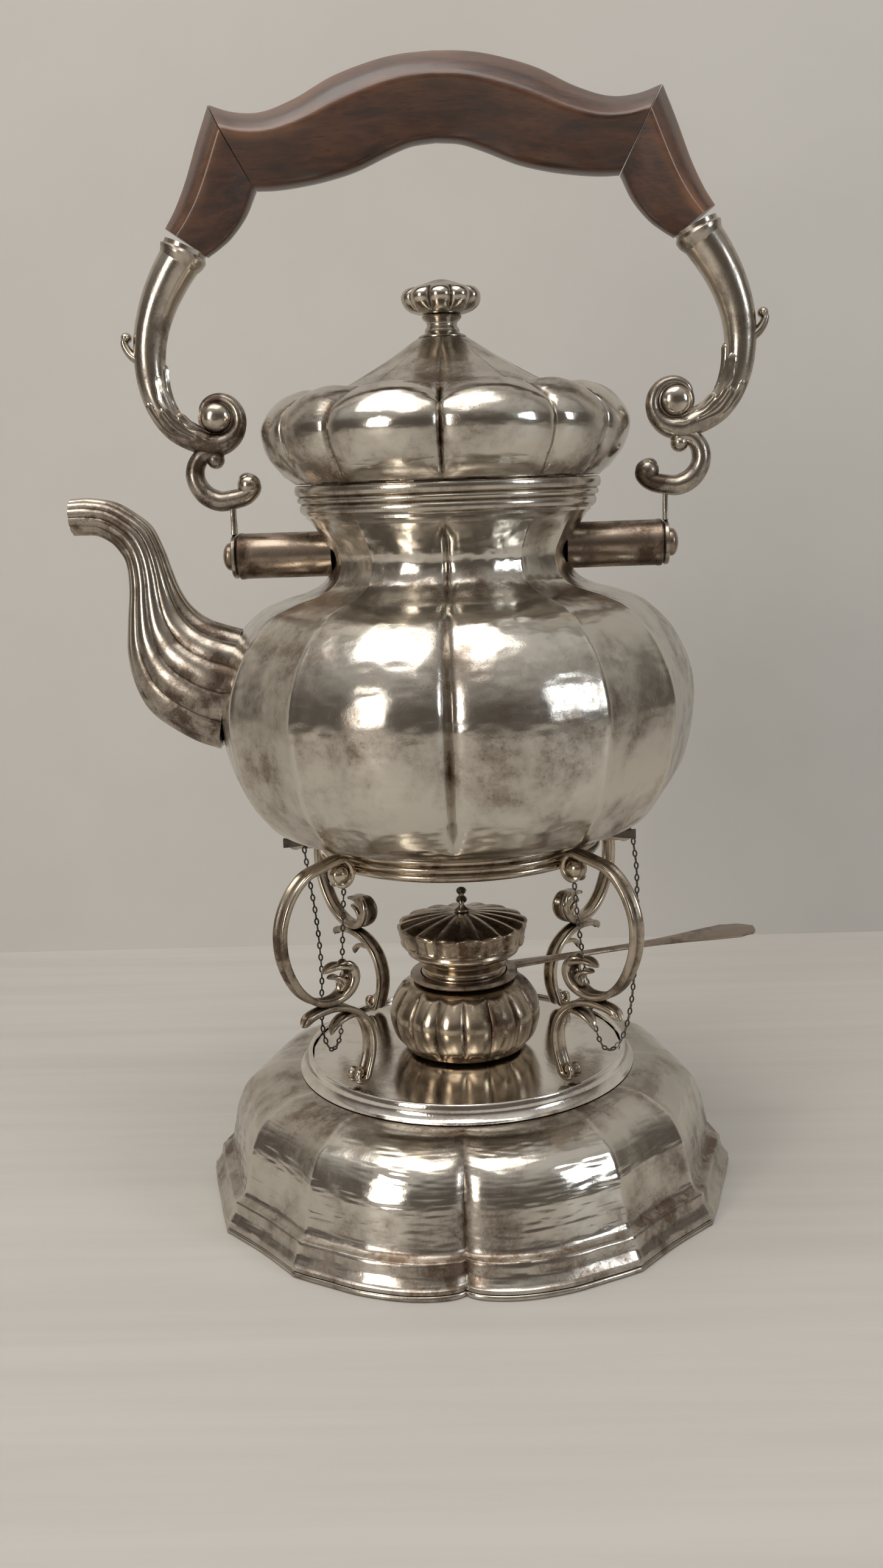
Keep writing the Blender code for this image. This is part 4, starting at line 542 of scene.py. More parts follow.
def polished_wood():
    """Dark red-brown wood: long grain along the grip, darker pores, a worn polish, and a painted highlight
    along the top edge and side ridges.
    """
    material, tree, shader, place = new_finish("rubbed dark wood")
    stretch = tree.nodes.new("ShaderNodeMapping")
    stretch.inputs["Scale"].default_value = (9.0, 60.0, 60.0)
    tree.links.new(place, stretch.inputs["Vector"])
    grain = noise(tree, stretch.outputs[0], 3.2, 9.0, 0.66, 0.5)
    stripes = noise(tree, stretch.outputs[0], 16.0, 5.0, 0.6)
    worn = noise(tree, place, 24.0, 4.0)
    held = tree.nodes.new("ShaderNodeAttribute")
    held.attribute_name = "tarnish_wear_and_painted_light"
    colour = blended(tree, spread(tree, grain, 0.30, 0.72), (0.022, 0.0075, 0.004), (0.100, 0.034, 0.014))
    colour = blended(tree, spread(tree, stripes, 0.52, 0.70, 0.0, 0.75), colour, (0.022, 0.008, 0.004))
    # Lighter along the top edge and the side ridges: a painted highlight, broken up by wear.
    highlit_and_worn = maths(tree, "MULTIPLY", held.outputs["Fac"], spread(tree, worn, 0.35, 0.70))
    colour = blended(tree, highlit_and_worn, colour, (0.230, 0.105, 0.050))
    tree.links.new(colour, shader.inputs["Base Color"])
    tree.links.new(spread(tree, grain, 0.2, 0.8, 0.30, 0.50), shader.inputs["Roughness"])
    shader.inputs["Specular IOR Level"].default_value = 0.45
    shader.inputs["Coat Weight"].default_value = 0.55
    shader.inputs["Coat Roughness"].default_value = 0.20
    height = maths(tree, "MULTIPLY", stripes, 0.00016)
    bump = add_node(tree, "ShaderNodeBump", Height=height, Distance=1.0, Strength=0.8)
    tree.links.new(bump.outputs[0], shader.inputs["Normal"])
    return material


def woven_cotton():
    """The wick: soft woven cotton, charred at its end."""
    material, tree, shader, place = new_finish("charred cotton")
    weave = add_node(tree, "ShaderNodeTexVoronoi", Vector=place, Scale=1500.0).outputs["Distance"]
    soot = noise(tree, place, 260.0, 4.0)
    colour = blended(tree, spread(tree, soot, 0.35, 0.65), (0.55, 0.50, 0.42), (0.10, 0.085, 0.07))
    tree.links.new(colour, shader.inputs["Base Color"])
    tree.links.new(spread(tree, weave, 0.0, 1.0, 0.8, 0.98), shader.inputs["Roughness"])
    bump = add_node(tree, "ShaderNodeBump", Height=maths(tree, "MULTIPLY", weave, 0.0003), Distance=1.0)
    tree.links.new(bump.outputs[0], shader.inputs["Normal"])
    return material


RAISED = metal("hammered old silver", (0.64, 0.60, 0.53), (0.185, 0.135, 0.10), (0.14, 0.34), 0.42,
               marks=0.13)
TURNED = metal("turned old silver", (0.60, 0.55, 0.475), (0.17, 0.125, 0.09), (0.15, 0.36), 0.46)
CAST = metal("cast old silver", (0.58, 0.52, 0.44), (0.115, 0.085, 0.065), (0.16, 0.38), 0.50)
BRIGHT = metal("bright silver", (0.82, 0.78, 0.72), (0.34, 0.27, 0.21), (0.08, 0.24), 0.22)
BROWNED = metal("browned silver", (0.40, 0.32, 0.25), (0.10, 0.068, 0.048), (0.20, 0.42), 0.60)
GILT = metal("worn brown gilding", (0.56, 0.48, 0.38), (0.11, 0.078, 0.055), (0.16, 0.38), 0.48)
COPPERY = metal("coppery brass", (0.55, 0.46, 0.35), (0.105, 0.070, 0.048), (0.15, 0.36), 0.50)
BLACKENED = metal("blackened chain silver", (0.16, 0.14, 0.12), (0.03, 0.026, 0.022), (0.34, 0.60), 0.6)
WOOD = polished_wood()
COTTON = woven_cotton()


# The stand


def base_strength(r):
    """The lobes start just outside the collar."""
    start = 0.66 * BASE_RADIUS
    return ease(r, start - 0.003, start + 0.006)


def make_base():
    """The lobed dome with its shoulder and hollow foot, the rim below it, and what stands on top."""
    outer = through(scaled(BASE_SHARES, BASE_RADIUS, BASE_HEIGHT, SHELL_BOTTOM), 116)
    inner = outer[::-6] - (WALL, WALL * 0.6)
    inner[:, 1] = np.maximum(inner[:, 1], SHELL_BOTTOM)
    flange = np.array([(BASE_RADIUS - 0.0003, SHELL_BOTTOM + WALL), (BASE_RADIUS - 0.0003, SHELL_BOTTOM)])
    profile = np.vstack([outer, flange, inner])

    def lobes(r, z, angle):
        """Radius less the lobe rule's share; the foot's step follows, and dents are laid on."""
        run = np.linspace(0, 1, len(r))[:, None]
        shell = ease(r, 0.066, 0.075)
        return r * (1 - lobe_loss(angle) * base_strength(r)) - np.abs(dents(angle, run, 3)) * shell, z

    angle = np.linspace(0, 360, COLUMNS, endpoint=False)[None]
    height = (profile[:, 1:] - SHELL_BOTTOM) / BASE_HEIGHT
    low = 1 - ease(height, 0.10, 0.60)
    # Darker towards the bottom; painted shade in the front and back creases, and a painted shade band under
    # the dome's bulge above the foot's step.
    tarnish_and_painted_light = 0.42 * low + 0.45 * crease_nearness(angle, 2.4) + 0.40 * np.exp(-((height - 0.23) / 0.03) ** 2)
    # Darker at the top next to the collar; a painted highlight line along each ridge, where the share is
    # lowered.
    tarnish_and_painted_light = tarnish_and_painted_light + 0.40 * ease(height, 0.90, 1.0) - 0.55 * ridge_line(angle) - 0.08
    new_piece("base_dome", [(turned(profile, COLUMNS, rule=lobes), True, True, tarnish_and_painted_light)], RAISED, "stand",
              ["base_shell"])

    edge = np.radians(np.linspace(-90, 90, 9))
    round_half, inside = 0.0011, BASE_RADIUS - 0.0050
    lip = np.stack([BASE_RADIUS - round_half + round_half * np.cos(edge),
                    round_half + round_half * np.sin(edge)], 1)
    rim = np.vstack([[(inside, 0.0)], lip,
                     [(BASE_RADIUS - 0.0026, 2 * round_half), (inside, 2 * round_half)]])

    def rim_lobes(r, z, angle):
        """The foot's plan follows the panels."""
        return r * (1 - lobe_loss(angle)), z

    new_piece("base_rim", [(turned(rim, COLUMNS, rule=rim_lobes), True, True, 0.15)], TURNED, "stand",
              ["base_foot_rim"])

    wide = COLLAR_RADIUS + 0.0018
    side = through([(wide - 0.0002, COLLAR_TOP - 0.0003), (wide + 0.0002, COLLAR_TOP - 0.0016),
                    (wide + 0.0006, COLLAR_TOP - 0.0034), (wide + 0.0017, COLLAR_BOTTOM + 0.0010),
                    (wide + 0.0030, COLLAR_BOTTOM)], 24)
    collar = np.vstack([[(COLLAR_RADIUS, COLLAR_TOP - 0.0002), (COLLAR_RADIUS + 0.0003, COLLAR_TOP),
                         (wide - 0.0005, COLLAR_TOP)], side, [(COLLAR_RADIUS, COLLAR_BOTTOM)]])
    new_piece("bright_collar", [(turned(collar, 240), True, True, 0.0)], BRIGHT, "stand",
              ["gallery_collar"])


def make_ring():
    """The ring that carries the kettle: three round beads on its outer side."""
    low = RING_RADIUS - 0.0009
    side = beads(low, RING_TOP - 0.0002, RING_BOTTOM + 0.0002, 3, 0.0009)
    inner = RING_RADIUS - RING_WIDTH
    ring = np.vstack([[(inner, RING_TOP), (low - 0.0003, RING_TOP)], side,
                      [(low - 0.0003, RING_BOTTOM), (inner, RING_BOTTOM)]])
    creases = np.abs(np.cos(math.pi * 3 * (RING_TOP - ring[:, 1:]) / (RING_TOP - RING_BOTTOM))) ** 4
    new_piece("beaded_ring", [(turned(ring, 240), True, True, 0.4 * creases)], GILT, "stand",
              ["stand_ring"])


def upper_volute_centre():
    """The top volute sits against the ring's lowest bead."""
    share = 0.62 + 0.50 * 150.0 / 240.0
    reach = share * (UPPER_VOLUTE_RADIUS - LEG_THICKNESS / 2) + LEG_THICKNESS / 2
    return RING_RADIUS + 0.0003 + reach, RING_BOTTOM + (RING_TOP - RING_BOTTOM) / 6


def in_leg_plane(path, angle):
    """A flat path of (reach, height) set up in the upright plane of a leg."""
    a = math.radians(angle)
    return np.stack([AXIS_X + path[:, 0] * math.cos(a), path[:, 0] * math.sin(a), path[:, 1]], 1)


def ball_at(centre, radius, rows=14, columns=20):
    """A ball: latitude rows by longitude columns."""
    lat = np.linspace(0, math.pi, rows)[:, None]
    lon = np.linspace(0, 2 * math.pi, columns, endpoint=False)[None]
    unit = np.stack([np.sin(lat) * np.cos(lon), np.sin(lat) * np.sin(lon), np.cos(lat) + 0 * lon], 2)
    return np.asarray(centre) + radius * unit


def make_leg(name, angle):
    """One leg: a big C with a ball in its volute and a leaf curl, and a reverse C below it."""
    bottom = RING_BOTTOM + UPPER_VOLUTE_RADIUS - UPPER_SCROLL_HEIGHT
    centre = upper_volute_centre()
    reach = UPPER_VOLUTE_RADIUS - 0.00135
    volute = spiral(centre, 330, -240, 0.62 * reach, 1.12 * reach, 9)
    upper = through(np.vstack([volute, scaled(UPPER_SHARES, LEG_REACH, UPPER_SCROLL_HEIGHT, bottom)]), 170)
    a = math.radians(angle)
    across = np.array([-math.sin(a), math.cos(a), 0.0])
    strap = strap_section(LEG_WIDTH, LEG_THICKNESS)
    thin = round_ends(170, 6, 10)
    share = np.linspace(0, 1, 170)
    swell = 1 + 0.30 * np.exp(-((share - 0.90) / 0.06) ** 2)
    rows = np.stack([thin * swell, thin * (1 + 0.5 * ease(share, 0.80, 0.93))], 1)
    arc = in_leg_plane(upper, angle)
    hub = in_leg_plane(np.array([centre]), angle)[0]
    hollow = 0.6 * np.exp(-(strap[:, 0] / (0.22 * LEG_WIDTH)) ** 2)[None]
    tarnish_and_painted_light = 0.25 * ease(share, 0.55, 0.95)[:, None] + hollow
    grids = [(swept(arc, across, strap, rows), False, True, tarnish_and_painted_light),
             (ball_at(hub, 0.0037, 20, 28), False, True, 0.0)]
    for tip, size in ((LEG_LEAF, 1.0), (LEG_SPUR, 0.8)):
        grids.append(leg_leaf(scaled(tip, LEG_REACH, UPPER_SCROLL_HEIGHT, bottom), angle, across, size))
    new_piece(f"leg_{name}_big_scroll", grids, GILT, "stand", [f"leg_{name}_upper_scroll"])

    foot = (COLLAR_RADIUS - 0.0006 - FOOT_VOLUTE_RADIUS, PLATE_TOP + 0.0003 + FOOT_VOLUTE_RADIUS)
    height = bottom - PLATE_TOP - 0.00160
    curl = FOOT_VOLUTE_RADIUS - LEG_THICKNESS / 2
    lower = np.vstack([scaled(LOWER_SHARES, LEG_REACH, height, PLATE_TOP),
                       spiral(foot, 180, 300, curl, 0.4 * curl, 11)])
    lower = through(lower, 120)
    hub = in_leg_plane(np.array([foot]), angle)[0]
    rows = round_ends(120, 8, 5)
    share = np.linspace(0, 1, 120)
    grids = [(swept(in_leg_plane(lower, angle), across, strap,
                    np.stack([rows * (0.8 + 0.2 * ease(share, 0, 0.3)), rows], 1)),
              False, True, 0.15 + hollow), (ball_at(hub, 0.0022, 16, 22), False, True, 0.0)]
    leaf = scaled(FOOT_LEAF, LEG_REACH, height, PLATE_TOP)
    grids.append(leg_leaf(leaf, angle, across, 0.8))
    new_piece(f"leg_{name}_small_scroll", grids, GILT, "stand", [f"leg_{name}_lower_scroll"])


def leg_leaf(knots, angle, across, size):
    """A thick curled leaf of a leg: a strap along a short curve, broad in its middle, thin at its tip."""
    path = through(knots, 34)
    t = np.linspace(0, 1, 34)
    wide = size * (0.55 + 0.75 * np.sin(math.pi * np.clip(t * 1.05, 0, 1)) ** 0.8)
    thick = size * (1.15 - 0.75 * t)
    ends = round_ends(34, 3, 6)
    rows = np.stack([wide * ends, thick * ends], 1)
    return swept(in_leg_plane(path, angle), across, strap_section(0.0056, 0.0034), rows), False, True, 0.2


# The kettle


def body_strength(z):
    """The lobes fade out under the mouth and round the bottom."""
    low = BODY_BOTTOM + BODY_HEIGHT * 0.01
    rise = ease(z, low, low + BODY_HEIGHT * 0.12)
    return rise * (1 - ease(z, MOUTH_BOTTOM - 0.0077, MOUTH_BOTTOM))


def make_body():
    """The kettle's raised body: its profile from the mouth to the bottom, lobed, and the wall inside."""
    sides = through(scaled(BODY_SHARES, BODY_RADIUS, BODY_HEIGHT, BODY_BOTTOM)[1:], 148)
    outer = np.vstack([[(MOUTH_RADIUS, MOUTH_TOP), (MOUTH_RADIUS, MOUTH_BOTTOM + WALL)], sides,
                       [(0.0, BODY_BOTTOM)]])
    walls = moved_in(sides, 2 * WALL)[::-7]
    inner = np.vstack([[(0.0, BODY_BOTTOM + 2 * WALL)], walls,
                       [(MOUTH_RADIUS - WALL, MOUTH_BOTTOM + WALL), (MOUTH_RADIUS - WALL, MOUTH_TOP)]])
    profile = np.vstack([outer, inner])
    count = len(outer)

    def lobes(r, z, angle):
        """Radius less the lobe rule's share, a tight crease in the front seam, and dents."""
        run = np.linspace(0, 1, len(r))[:, None]
        strength = body_strength(z)
        crease = 0.0007 * np.exp(-folded_angle(angle) ** 2)
        marks = np.abs(dents(angle, run * 1.3, 5)) * ease(r, 0.030, 0.045) * (1 - ease(z, 0.250, 0.256))
        marks[count:] = 0
        return r * (1 - lobe_loss(angle) * strength) - crease * strength - marks, z

    angle = np.linspace(0, 360, COLUMNS, endpoint=False)[None]
    height = (profile[:, 1:] - BODY_BOTTOM) / BODY_HEIGHT
    # Darker towards the bottom; painted shade in the front and back creases.
    tarnish_and_painted_light = 0.45 * (1 - ease(height, 0.0, 0.20)) + 0.30 * crease_nearness(angle, 0.7)
    # Darker in a band where the shoulder turns into the neck.
    tarnish_and_painted_light = tarnish_and_painted_light + 0.30 * np.exp(-((height - 0.80) / 0.06) ** 2)
    # A painted reflection: a dark band round the widest part of the body.
    tarnish_and_painted_light = tarnish_and_painted_light + 0.24 * np.exp(-((height - 0.36) / 0.12) ** 2)
    # A painted highlight line along each ridge, where the share is lowered.
    tarnish_and_painted_light = tarnish_and_painted_light - 0.60 * ridge_line(angle) - 0.06
    new_piece("raised_body", [(turned(profile, COLUMNS, rule=lobes), True, True, tarnish_and_painted_light)], RAISED, "kettle",
              ["kettle_body"])


def make_mouth():
    """The turned moulding round the mouth, in three steps, and the ring under the body."""
    low = MOUTH_RADIUS + 0.0006
    knots, bulge = [], 0.0008
    share = np.radians(np.linspace(90, -90, 9))
    for out, top, bottom in ((0.0030, 0.0000, 0.0036), (0.0022, 0.0041, 0.0062), (0.0014, 0.0067, 0.0098)):
        middle, half = MOUTH_TOP - (top + bottom) / 2, (bottom - top) / 2
        knots += [(low + out - bulge + bulge * math.cos(s), middle + half * math.sin(s)) for s in share]
    moulding = np.vstack([[(low, MOUTH_TOP)], knots, [(low, MOUTH_TOP - 0.0105)]])
    new_piece("mouth_steps", [(turned(moulding, 240), True, True, 0.12)], TURNED, "kettle",
              ["mouth_moulding"])

    wide, high = RING_RADIUS - RING_WIDTH - 0.0003, BODY_BOTTOM - 0.0003
    inner, low = wide - 0.0034, high - 0.0036
    foot = through([(inner, high), (wide, high), (wide - 0.0002, high - 0.0018), (wide - 0.0010, low),
                    (inner, low)], 30)
    new_piece("body_foot_ring", [(turned(foot, 200), True, True, 0.3)], BROWNED, "kettle",
              ["kettle_foot_ring"])


def make_spout():
    """The ribbed spout and its bore: at each station an oval between the upper and lower edge, with ribs."""
    rows, columns = 130, SPOUT_RIBS * 14
    stations = curve_at(SPOUT_STATIONS, np.linspace(0, len(SPOUT_STATIONS) - 1, rows))
    zero = np.zeros(rows)
    top = np.stack([AXIS_X - stations[:, 0] * SPOUT_REACH, zero, SPOUT_LOW + stations[:, 1] * SPOUT_RISE],
                   1)
    low = np.stack([AXIS_X - stations[:, 2] * SPOUT_REACH, zero, SPOUT_LOW + stations[:, 3] * SPOUT_RISE],
                   1)
    middle, up = (top + low) / 2, (top - low) / 2
    half = np.linalg.norm(up, axis=1)
    width = stations[:, 4] * SPOUT_REACH
    a = np.linspace(0, 2 * math.pi, columns, endpoint=False)
    ribs = np.abs(np.sin(SPOUT_RIBS * a / 2)) ** 0.7
    outer_scale = 1 - 0.085 * (1 - ribs)[None] + 0 * half[:, None]
    inner_scale = 1 - 0.075 - (0.0016 / half)[:, None] + 0 * a[None]

    def ovals(scale, step=1):
        """Middle plus scale times (up cos a + across sin a), kept inside the CAD model's box."""
        across = np.array([0.0, 1.0, 0.0]) * width[:, None]
        points = middle[:, None] + scale[:, :, None] * (
            up[:, None] * np.cos(a)[None, :, None] + across[:, None] * np.sin(a)[None, :, None])
        return np.maximum(points[::step], (CAD_BOX[0][0], -1, 0))

    skin, bore = ovals(outer_scale), ovals(inner_scale, 3)[::-1]
    lip = skin[-1:] * 0.6 + bore[:1] * 0.4
    points = np.concatenate([skin, lip, bore])
    tarnish_and_painted_light = np.concatenate([0.55 * (1 - ribs)[None] + 0.25 * (1 - ease(np.linspace(0, 1, rows), 0, 0.35))[:,
            None],
                           np.zeros((1, columns)), 0.8 * np.ones((len(bore), columns))])
    new_piece("ribbed_spout", [(points, True, True, tarnish_and_painted_light)], CAST, "kettle", ["kettle_spout"])


def make_trunnions():
    """The tubes that stand out from the neck, and the domed screws that the handle turns on."""
    for side, sign in (("left", -1), ("right", 1)):
        tube = [(0.0, 0.0426), (0.0082, 0.0426), (0.0082, 0.0745), (0.0084, 0.0752), (0.0084, 0.0764),
                (0.0079, 0.0769), (0.0022, 0.0770), (0.0022, 0.0667), (0.0, 0.0667)]
        tube = np.vstack([tube[:1], np.linspace(tube[1], tube[2], 12), tube[3:]])
        ends = 0.5 * ease(tube[:, 1:], 0.064, 0.074) + 0.3 * (1 - ease(tube[:, 1:], 0.046, 0.056))
        new_piece(f"neck_tube_{side}", [(turned_along_x(tube, sign), False, True, ends)], BROWNED, "kettle",
                  [f"trunnion_tube_{side}"])
        seat = 0.0794
        a = np.radians(np.linspace(0, 90, 10))
        dome = np.stack([0.0050 * np.sin(a), seat + 0.0009 + 0.0025 * np.cos(a)], 1)
        screw = np.vstack([dome, [(0.0050, seat), (0.0019, seat), (0.0019, 0.0670), (0.0, 0.0670)]])
        new_piece(f"domed_screw_{side}", [(turned_along_x(screw, sign, 48), False, True, 0.1)], BROWNED,
                  "kettle",
                  [f"pivot_screw_{side}"])


# The lid


def make_lid():
    """The lid: a cone that falls into a ring of puffed lobes, each with its own arched top."""
    sides = through(scaled(LID_SHARES, LID_RADIUS, LID_HEIGHT, LID_BOTTOM), 120)
    walls = sides[::-8] - (WALL * 0.8, WALL)
    walls[0] = (sides[-1][0] - WALL, LID_BOTTOM)
    profile = np.vstack([[(0.0023, LID_TOP)], sides, walls, [(0.0023, LID_TOP - WALL)]])

    def lobes(r, z, angle):
        """The cone takes the body's rule, and the ring of lobes the pillow rule with arched tops."""
        share = r / LID_RADIUS
        cone = ease(share, 0.16, 0.32) * (1 - ease(share, 0.60, 0.70))
        full = ease(share, 0.64, 0.80) * ease(z, LID_BOTTOM - 0.0010, LID_BOTTOM + 0.0070)
        run = np.linspace(0, 1, len(r))[:, None]
        marks = np.abs(dents(angle, run, 8, low=8, high=26, depth=0.00009)) * ease(r, 0.02, 0.03)
        pillow = puffed_loss(angle)
        top = ease(share, 0.655, 0.76) * (1 - ease(share, 0.88, 0.985))
        top = top * ease(z, LID_BOTTOM + 0.018, LID_BOTTOM + 0.026)
        return r * (1 - lobe_loss(angle) * cone - pillow * full) - marks, z - 0.075 * top * pillow

    angle = np.linspace(0, 360, COLUMNS, endpoint=False)[None]
    height = (profile[:, 1:] - LID_BOTTOM) / LID_HEIGHT
    # Darker over the cone above the lobes; painted shade in the groove at every seam.
    tarnish_and_painted_light = 0.40 * ease(height, 0.60, 0.68) + 0.45 * seam_nearness(angle, 1.0)
    # Darker at the lower edge.
    tarnish_and_painted_light = tarnish_and_painted_light + 0.40 * (1 - ease(height, 0.0, 0.12))
    # Painted shade in the front and back creases.
    tarnish_and_painted_light = tarnish_and_painted_light + 0.25 * crease_nearness(angle, 0.8) - 0.06
    new_piece("puffed_lid", [(turned(profile, COLUMNS, rule=lobes), True, True, tarnish_and_painted_light)], RAISED, "lid",
              ["lid_shell"])

    stem = [(0.0, 0.3234), (0.0068, 0.3234), (0.0071, 0.3229), (0.0066, 0.3222), (0.0056, 0.3214),
            (0.0053, 0.3204),
            (0.0055, 0.3196), (0.0060, 0.3190), (0.0062, 0.3184), (0.0060, 0.3180), (0.0066, 0.3174),
            (0.0078, 0.3169),
            (0.0085, 0.3164), (0.0085, 0.3160), (0.0020, 0.3160), (0.0020, 0.3102), (0.0, 0.3102)]
    new_piece("lid_stem", [(turned(stem, 96), False, True, 0.35)], TURNED, "lid", ["knob_stem"])

    shares = ((0.000, 1.000), (0.180, 0.965), (0.400, 0.880), (0.600, 0.795), (0.700, 0.760),
              (0.790, 0.755),
              (0.900, 0.700), (0.985, 0.570), (1.000, 0.430), (0.940, 0.270), (0.800, 0.130),
              (0.600, 0.040), (0.480, 0.010), (0.300, 0.000), (0.000, 0.000))
    knob = through(scaled(shares, KNOB_RADIUS, KNOB_HEIGHT, KNOB_BOTTOM), 72)

    def gadroons(r, z, angle):
        """Ten beads round the knob: the radius drawn in between them, under a plain cap."""
        wave = np.sqrt(np.abs(np.sin(KNOB_LOBES * np.radians(angle + 18) / 2)))
        strength = ease(r, KNOB_RADIUS * 0.66, KNOB_RADIUS * 0.90)
        fall = 0.0006 * (1 - wave) * strength * ease(z, 0.3305, 0.334)
        return r * (1 - 0.16 * (1 - wave) * strength), z - fall

    angle = np.linspace(0, 360, 240, endpoint=False)[None]
    wave = np.abs(np.sin(KNOB_LOBES * np.radians(angle + 18) / 2))
    tarnish_and_painted_light = 0.75 * (1 - wave) ** 2 * ease(knob[:, :1], 0.010, 0.013) + 0.25 * ease(knob[:, 1:], 0.331, 0.335)
    new_piece("beaded_knob", [(turned(knob, 240, rule=gadroons), False, True, tarnish_and_painted_light)], CAST, "lid",
              ["lid_knob"])


# The handle


def beside_axis(path, sign):
    """Handle shares made places in the handle's upright plane."""
    path = np.asarray(path, float)
    return np.stack([AXIS_X + sign * path[:, 0] * HANDLE_SPAN, np.zeros(len(path)),
                     TRUNNION_Z + path[:, 1] * HANDLE_RISE], 1)


def grip_rings(tops, lows, halves):
    """Sections of the wood: a kite with a ridge on each side, its corners rounded.

    Each corner point is laid between the upper and lower edge and out by the half
    width; the outline is cut evenly and blurred round itself.
    """
    corners = np.array([(0.00, 0.00), (0.02, 0.26), (0.19, 0.70), (0.38, 1.00), (0.69, 0.70), (0.98, 0.30),
                        (1.00, 0.00)])
    shape = np.vstack([corners, corners[-2::-1] * (1, -1)])
    run = np.append(0, np.cumsum(np.linalg.norm(np.diff(shape, axis=0), axis=1)))
    marks = np.linspace(0, run[-1], 72, endpoint=False)
    outline = np.stack([np.interp(marks, run, column) for column in shape.T], 1)
    outline = (np.roll(outline, 1, 0) + 2 * outline + np.roll(outline, -1, 0)) / 4
    down = (lows - tops)[:, None] * outline[None, :, :1]
    out = np.array([0.0, 1.0, 0.0]) * halves[:, None, None] * outline[None, :, 1:]
    # A painted highlight mixed with wear: a share that lightens the top edge and the side ridges.
    highlight_and_wear = np.exp(-((outline[:, 0] - 0.38) / 0.10) ** 2) + 0.8 * np.exp(-((outline[:, 0] - 0.0) / 0.12) ** 2)
    return tops[:, None] + down + out, highlight_and_wear[None]


def with_ends(points, highlight_and_wear):
    """Flat end faces: a first and a last row drawn to the middle of theirs."""
    first, last = points[:1].mean(1, keepdims=True), points[-1:].mean(1, keepdims=True)
    rows = np.concatenate([np.repeat(first, points.shape[1], 1), points[:1], points, points[-1:],
                           np.repeat(last, points.shape[1], 1)])
    return rows, False, True, np.broadcast_to(highlight_and_wear, rows.shape[:2])


def make_grip():
    """The wooden grip: an arched bar and two mitred ends."""
    tops, lows = through(beside_axis(GRIP_TOP, 1), 46), through(beside_axis(GRIP_UNDER, 1), 46)
    mirror = np.array([-1.0, 1.0, 1.0])
    middle = np.array([2 * AXIS_X, 0.0, 0.0])
    tops = np.vstack([(tops * mirror + middle)[:0:-1], tops])
    lows = np.vstack([(lows * mirror + middle)[:0:-1], lows])
    points, highlight_and_wear = grip_rings(tops, lows, np.full(len(tops), 0.0160))
    new_piece("arched_wood_bar", [with_ends(points, highlight_and_wear)], WOOD, "handle", ["grip_bar"], 50.0)
    for side, sign in (("left", -1), ("right", 1)):
        tops, lows = through(beside_axis(GRIP_END_TOP, sign),
                             36), through(beside_axis(GRIP_END_UNDER, sign), 36)
        mitre = (tops[0] - lows[0]) / np.linalg.norm(tops[0] - lows[0])
        gap = np.array([mitre[2], 0.0, -mitre[0]]) * sign * 0.0003
        halves = np.linspace(0.0160, 0.0092, 36)
        points, highlight_and_wear = grip_rings(tops + gap, lows + gap, halves)
        new_piece(f"mitred_wood_end_{side}", [with_ends(points, highlight_and_wear)], WOOD, "handle",
                  [f"grip_end_{side}"], 50.0)


def make_arm(side, sign):
    """A cast arm: a tapering round bar that winds into a volute, with leaves and a thumb scroll."""
    centre = np.array(ARM_VOLUTE) * (HANDLE_SPAN, HANDLE_RISE)
    bar = np.asarray(ARM_PATH[:-1]) * (HANDLE_SPAN, HANDLE_RISE)
    curl = spiral(centre, -66, -285, 0.0098, 0.0056, 17)
    path = through(np.vstack([bar, curl]), 240)
    place = np.stack([AXIS_X + sign * path[:, 0], np.zeros(240), TRUNNION_Z + path[:, 1]], 1)
    share = np.linspace(0, 1, 240)
    radius = np.interp(share, ARM_STATIONS, ARM_RADII)
    broad = radius * (1 + 0.30 * ease(share, 0.60, 0.80))
    ends = round_ends(240, 1, 10)
    across = np.array([0.0, 1.0, 0.0])
    tarnish_and_painted_light = 0.10 + 0.40 * ease(share, 0.40, 0.70)
    grids = [(swept(place, across, round_section(1.0, 40), np.stack([broad * ends, radius * ends], 1)),
              False, True,
              tarnish_and_painted_light[:, None])]

    hub = np.array([AXIS_X + sign * centre[0], 0.0, TRUNNION_Z + centre[1]])
    button = [(0.0, 0.0050), (0.0016, 0.0049), (0.0034, 0.0043), (0.0048, 0.0032), (0.0053, 0.0022),
              (0.0056, 0.0016),
              (0.0066, 0.0014), (0.0066, 0.0)]
    button = through(button, 26)
    button = np.vstack([button, button[::-1] * (1, -1)])
    disc = turned_along_x(button, 1, 48) - (AXIS_X, 0, TRUNNION_Z)
    disc = disc[:, :, (1, 0, 2)] + hub
    well = np.exp(-((button[:, :1] - 0.0060) / 0.0008) ** 2)
    grids.append((disc, False, True, 0.8 * well - 0.1))

    lip = np.interp(share[4:14], [share[4], share[6], share[9], share[13]],
                    [1.02, 1.13, 1.10, 1.0]) * radius[4:14]
    grids.append((swept(place[4:14], across, round_section(1.0, 40), np.stack([lip, lip], 1)), False, True,
                  0.3))

    thumb = through(beside_axis(THUMB_PATH, sign), 44)
    taper = np.linspace(0.0024, 0.0012, 44) * round_ends(44, 1, 5)
    grids.append((swept(thumb, across, round_section(1.0, 20), np.stack([taper * 1.7, taper], 1)), False,
                  True, 0.15))
    tip = beside_axis([(1.178, 0.466)], sign)[0]
    grids.append((ball_at((0, 0, 0), 1.0) * (0.0019, 0.0032, 0.0019) + tip, False, True, 0.1))
    for start, stop, lean, size in ARM_LEAVES:
        for turn in {lean, -lean}:
            grids.append(leaf_on(place, radius, start, stop, turn, size, sign))
    new_piece(f"cast_arm_{side}", grids, CAST, "handle", [f"handle_arm_{side}"])


